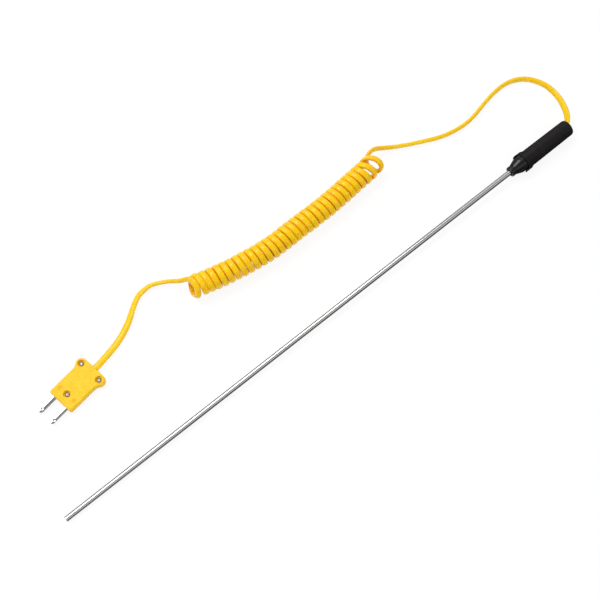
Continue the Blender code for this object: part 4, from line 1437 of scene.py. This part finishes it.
    def line(self) -> tuple[np.ndarray, np.ndarray]:
        """The whole cord's middle line and its wide direction.

        The wide direction is smoothed by a Gaussian along the line.

        Returns:
            Points from inside the handle to inside the plug, and the wide direction at each.
        """
        upper, lower = self.on_table(self.upper), self.on_table(self.lower)
        coil, coil_wide = self.helix()
        past_rear = (1.5 * MM, -1.0 * MM, -5.0 * MM)
        inside = [(self.plug.length + ahead, 0.0, self.plug.middle) for ahead in past_rear]
        entry = np.column_stack([self.plug.place.put(np.array(inside)), np.full(3, math.pi / 2)])
        lower = np.concatenate([lower, entry])
        points = np.concatenate([upper[:, :3], coil, lower[:, :3]])
        wide = np.concatenate([self.lead_wide(upper), coil_wide, self.lead_wide(lower)])
        for k in range(1, len(wide)):
            if wide[k] @ wide[k - 1] < 0:
                wide[k] = -wide[k]
        smooth = spline(np.column_stack([points, wide]), self.step)
        reach = int(3 * self.blend_reach / self.step)
        offsets = np.arange(-reach, reach + 1) * self.step
        weights = np.exp(-0.5 * (offsets / self.blend_reach) ** 2)
        weights /= weights.sum()
        padded = np.pad(smooth[:, 3:], ((reach, reach), (0, 0)), mode="edge")
        blended = np.stack([np.convolve(padded[:, k], weights, "valid") for k in range(3)], axis=1)
        return smooth[:, :3], unit(blended)

    @staticmethod
    def lead_wide(points: np.ndarray) -> np.ndarray:
        """The wide direction of a lead: upright on its edge, and turned about its run by its turn.

        Args:
            points: The lead's points, with the turn as the fourth number.

        Returns:
            The wide direction at each point.
        """
        along = tangents(points[:, :3])
        up = np.array([0.0, 0.0, 1.0])
        side = unit(np.cross(up, along))
        edge = np.cross(along, side)
        turn = points[:, 3:]
        return np.cos(turn) * edge + np.sin(turn) * side

    def build(self, with_pieces: Sequence[bpy.types.Object]) -> None:
        """Args:
            with_pieces: The plug's pieces; not used.
        """
        line, wide = self.line()
        points = carried(line, wide, jacket_section(self.width, self.thickness))
        solids = ("upper_lead", "curly_cord", "lower_lead")
        piece = Piece("cord", grid_mesh("cord", points), Look.CORD.value, solids, 60.0)
        piece.show()


# Table, light and camera


@dataclass(frozen=True)
class Studio:
    """A pale table under soft light."""

    table_size: float = 6.0
    table_colour: Colour = (0.92, 0.92, 0.92)
    table_white: float = 1.03
    shadow_share: float = 0.14
    fill: float = 0.5
    surround: tuple[Point, ...] = (
        (-90.0, 0.1), (-62.0, 0.1), (-56.0, 0.9), (-40.0, 0.9), (-32.0, 0.36),
        (11.0, 0.33), (17.0, 1.0), (58.0, 1.0), (68.0, 0.2), (90.0, 0.2),
    )

    @staticmethod
    def staged(
        name: str, corners: Sequence[Spot], faces: Sequence[Sequence[int]], nodes: Nodes,
        hidden: Sequence[str] = (),
    ) -> None:
        """Sets up a flat thing of the studio.

        Args:
            name: Its name.
            corners: Its corners.
            faces: Its faces, as numbers of corners.
            nodes: Its material's nodes.
            hidden: The kinds of rays that pass it.
        """
        mesh = bpy.data.meshes.new(name)
        mesh.from_pydata(corners, [], faces)
        mesh.materials.append(nodes.made)
        thing = bpy.data.objects.new(name, mesh)
        bpy.context.scene.collection.objects.link(thing)
        for kind in hidden:
            setattr(thing, f"visible_{kind}", False)

    def table(self) -> None:
        """A wide flat table that looks white, but keeps a faint shadow.

        Camera, glossy and transmission rays see a blend of white light and the plain table, and all
        others see the plain table.
        """
        half = self.table_size / 2
        nodes = Nodes("table_top")
        nodes.set(Base_Color=self.table_colour, Roughness=0.9, Specular_IOR_Level=0.1)
        plain = nodes.shader.outputs[0]
        white = nodes.add("ShaderNodeEmission", {"Strength": self.table_white}).outputs[0]
        shown = nodes.either(self.shadow_share, white, plain)
        rays = nodes.add("ShaderNodeLightPath").outputs
        direct = nodes.maths("MAXIMUM", rays["Is Camera Ray"], rays["Is Glossy Ray"])
        direct = nodes.maths("MAXIMUM", direct, rays["Is Transmission Ray"])
        surface = nodes.tree.nodes["Material Output"].inputs["Surface"]
        nodes.tree.links.new(nodes.either(direct, plain, shown), surface)
        corners = [(-half, -half, 0), (half, -half, 0), (half, half, 0), (-half, half, 0)]
        self.staged("table", corners, [(0, 1, 2, 3)], nodes)

    def world(self) -> None:
        """A white surround that reflections see in bands.

        The bands follow the angle of a direction about X, from straight up towards +Y, in degrees:
        they are the studio's soft boxes and its dark walls.
        """
        world = bpy.data.worlds.new("surround")
        bpy.context.scene.world = world
        world.use_nodes = True
        nodes = Tree(world.node_tree)
        light = world.node_tree.nodes["Background"]
        light.inputs["Color"].default_value = (1.0, 1.0, 1.0, 1.0)
        light.inputs["Strength"].default_value = self.fill
        place = nodes.add("ShaderNodeTexCoord").outputs["Generated"]
        split = nodes.add("ShaderNodeSeparateXYZ", {0: place}).outputs
        angle = nodes.maths("ARCTAN2", split["Y"], split["Z"])
        share = nodes.mapped(angle, (-math.pi / 2, math.pi / 2), (0.0, 1.0))
        bands = nodes.ramp(share, [(at / 180 + 0.5, (level, level, level)) for at, level in self.surround])
        mirrored = nodes.add("ShaderNodeBackground", {"Color": bands}).outputs[0]
        seen = nodes.add("ShaderNodeBackground", {"Color": (1.0, 1.0, 1.0, 1.0)}).outputs[0]
        rays = nodes.add("ShaderNodeLightPath").outputs
        shown = nodes.either(rays["Is Glossy Ray"], light.outputs[0], mirrored)
        shown = nodes.either(rays["Is Camera Ray"], shown, seen)
        world.node_tree.links.new(shown, world.node_tree.nodes["World Output"].inputs["Surface"])

    def flag(self) -> None:
        """Dark flags on both sides of the sheath, seen only in reflections, the far one folded up."""
        near, far, low, high, wide = 3.5 * MM, 60.0 * MM, 0.4 * MM, 22.0 * MM, 30.0 * MM
        ends = (-250.0 * MM, 250.0 * MM)
        edges = ((-near, low), (-far, low), (-far, high), (near, low), (wide, low))
        corners = [(x, y, z) for y, z in edges for x in ends]
        nodes = Nodes("dark_cloth")
        nodes.set(Base_Color=(0.09, 0.09, 0.09), Roughness=1.0)
        faces = [(0, 1, 3, 2), (2, 3, 5, 4), (6, 7, 9, 8)]
        self.staged("flag", corners, faces, nodes, ("camera", "diffuse", "shadow", "transmission"))

    @staticmethod
    def lamp(name: str, place: Spot, size: Point, power: float, mirrored: bool = True) -> None:
        """A rectangular soft light that points at the middle of the table.

        Args:
            name: The lamp's name.
            place: Where it hangs.
            size: Its length and height.
            power: Its power in watts.
            mirrored: Whether reflections show it.
        """
        data = bpy.data.lights.new(name, "AREA")
        data.shape = "RECTANGLE"
        data.size, data.size_y = size
        data.energy = power
        thing = bpy.data.objects.new(name, data)
        thing.location = place
        thing.rotation_euler = (-Vector(place)).to_track_quat("-Z", "Y").to_euler()
        thing.visible_glossy = mirrored
        bpy.context.scene.collection.objects.link(thing)

    def build(self) -> None:
        """Sets up the table, the surround and the lamps."""
        self.table()
        self.flag()
        self.world()
        self.lamp("soft_box", (-0.11, 0.49, 0.76), (0.84, 0.5), 5.2)
        self.lamp("fill_box", (0.1, -0.6, 0.35), (0.8, 0.4), 1.0, mirrored=False)


@dataclass(frozen=True)
class Viewpoint:
    """The camera, at the photograph's angle."""

    elevation: float = math.radians(70.0)
    distance: float = 0.5545
    heading: float = math.radians(90.0 - 39.24)
    target: Point = (-8.96 * MM, 16.75 * MM)
    focal_pixels: float = 1033.0
    picture_pixels: float = 600.0
    sensor: float = 36.0
    clip: Point = (0.01, 50.0)

    def build(self) -> None:
        """Places the camera and makes it the scene's."""
        data = bpy.data.cameras.new("camera")
        data.sensor_width = self.sensor
        data.lens = self.focal_pixels / self.picture_pixels * self.sensor
        data.clip_start, data.clip_end = self.clip
        away = Vector((math.cos(self.heading), math.sin(self.heading), 0.0)) * math.cos(self.elevation)
        look = away - Vector((0.0, 0.0, math.sin(self.elevation)))
        camera = bpy.data.objects.new("camera", data)
        camera.location = Vector((*self.target, 0.0)) - look * self.distance
        camera.rotation_euler = look.to_track_quat("-Z", "Y").to_euler()
        bpy.context.scene.collection.objects.link(camera)
        bpy.context.scene.camera = camera
        bpy.context.scene.view_settings.view_transform = "Standard"


def dress_solids() -> None:
    """Gives the solids that stay their finishes."""
    for look, names in NODE_LOOKS.items():
        for name in names:
            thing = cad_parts[name]
            thing.data.materials.clear()
            thing.data.materials.append(look.value.material())
            LOG.info("%s: %s", name, look.name)


def main() -> None:
    """Builds the camera, the cord with its plug, the probe and the studio."""
    logging.basicConfig(level=logging.INFO, format="%(name)s: %(message)s")
    Viewpoint().build()
    probe = Probe()
    plug = Plug(probe.mouth)
    on_cord = plug.build()
    Cord(probe.mouth, plug).build([*on_cord, *(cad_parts[name] for name in HELD_BY_PLUG)])
    probe.build()
    dress_solids()
    Studio().build()


if __name__ == "__main__":
    main()
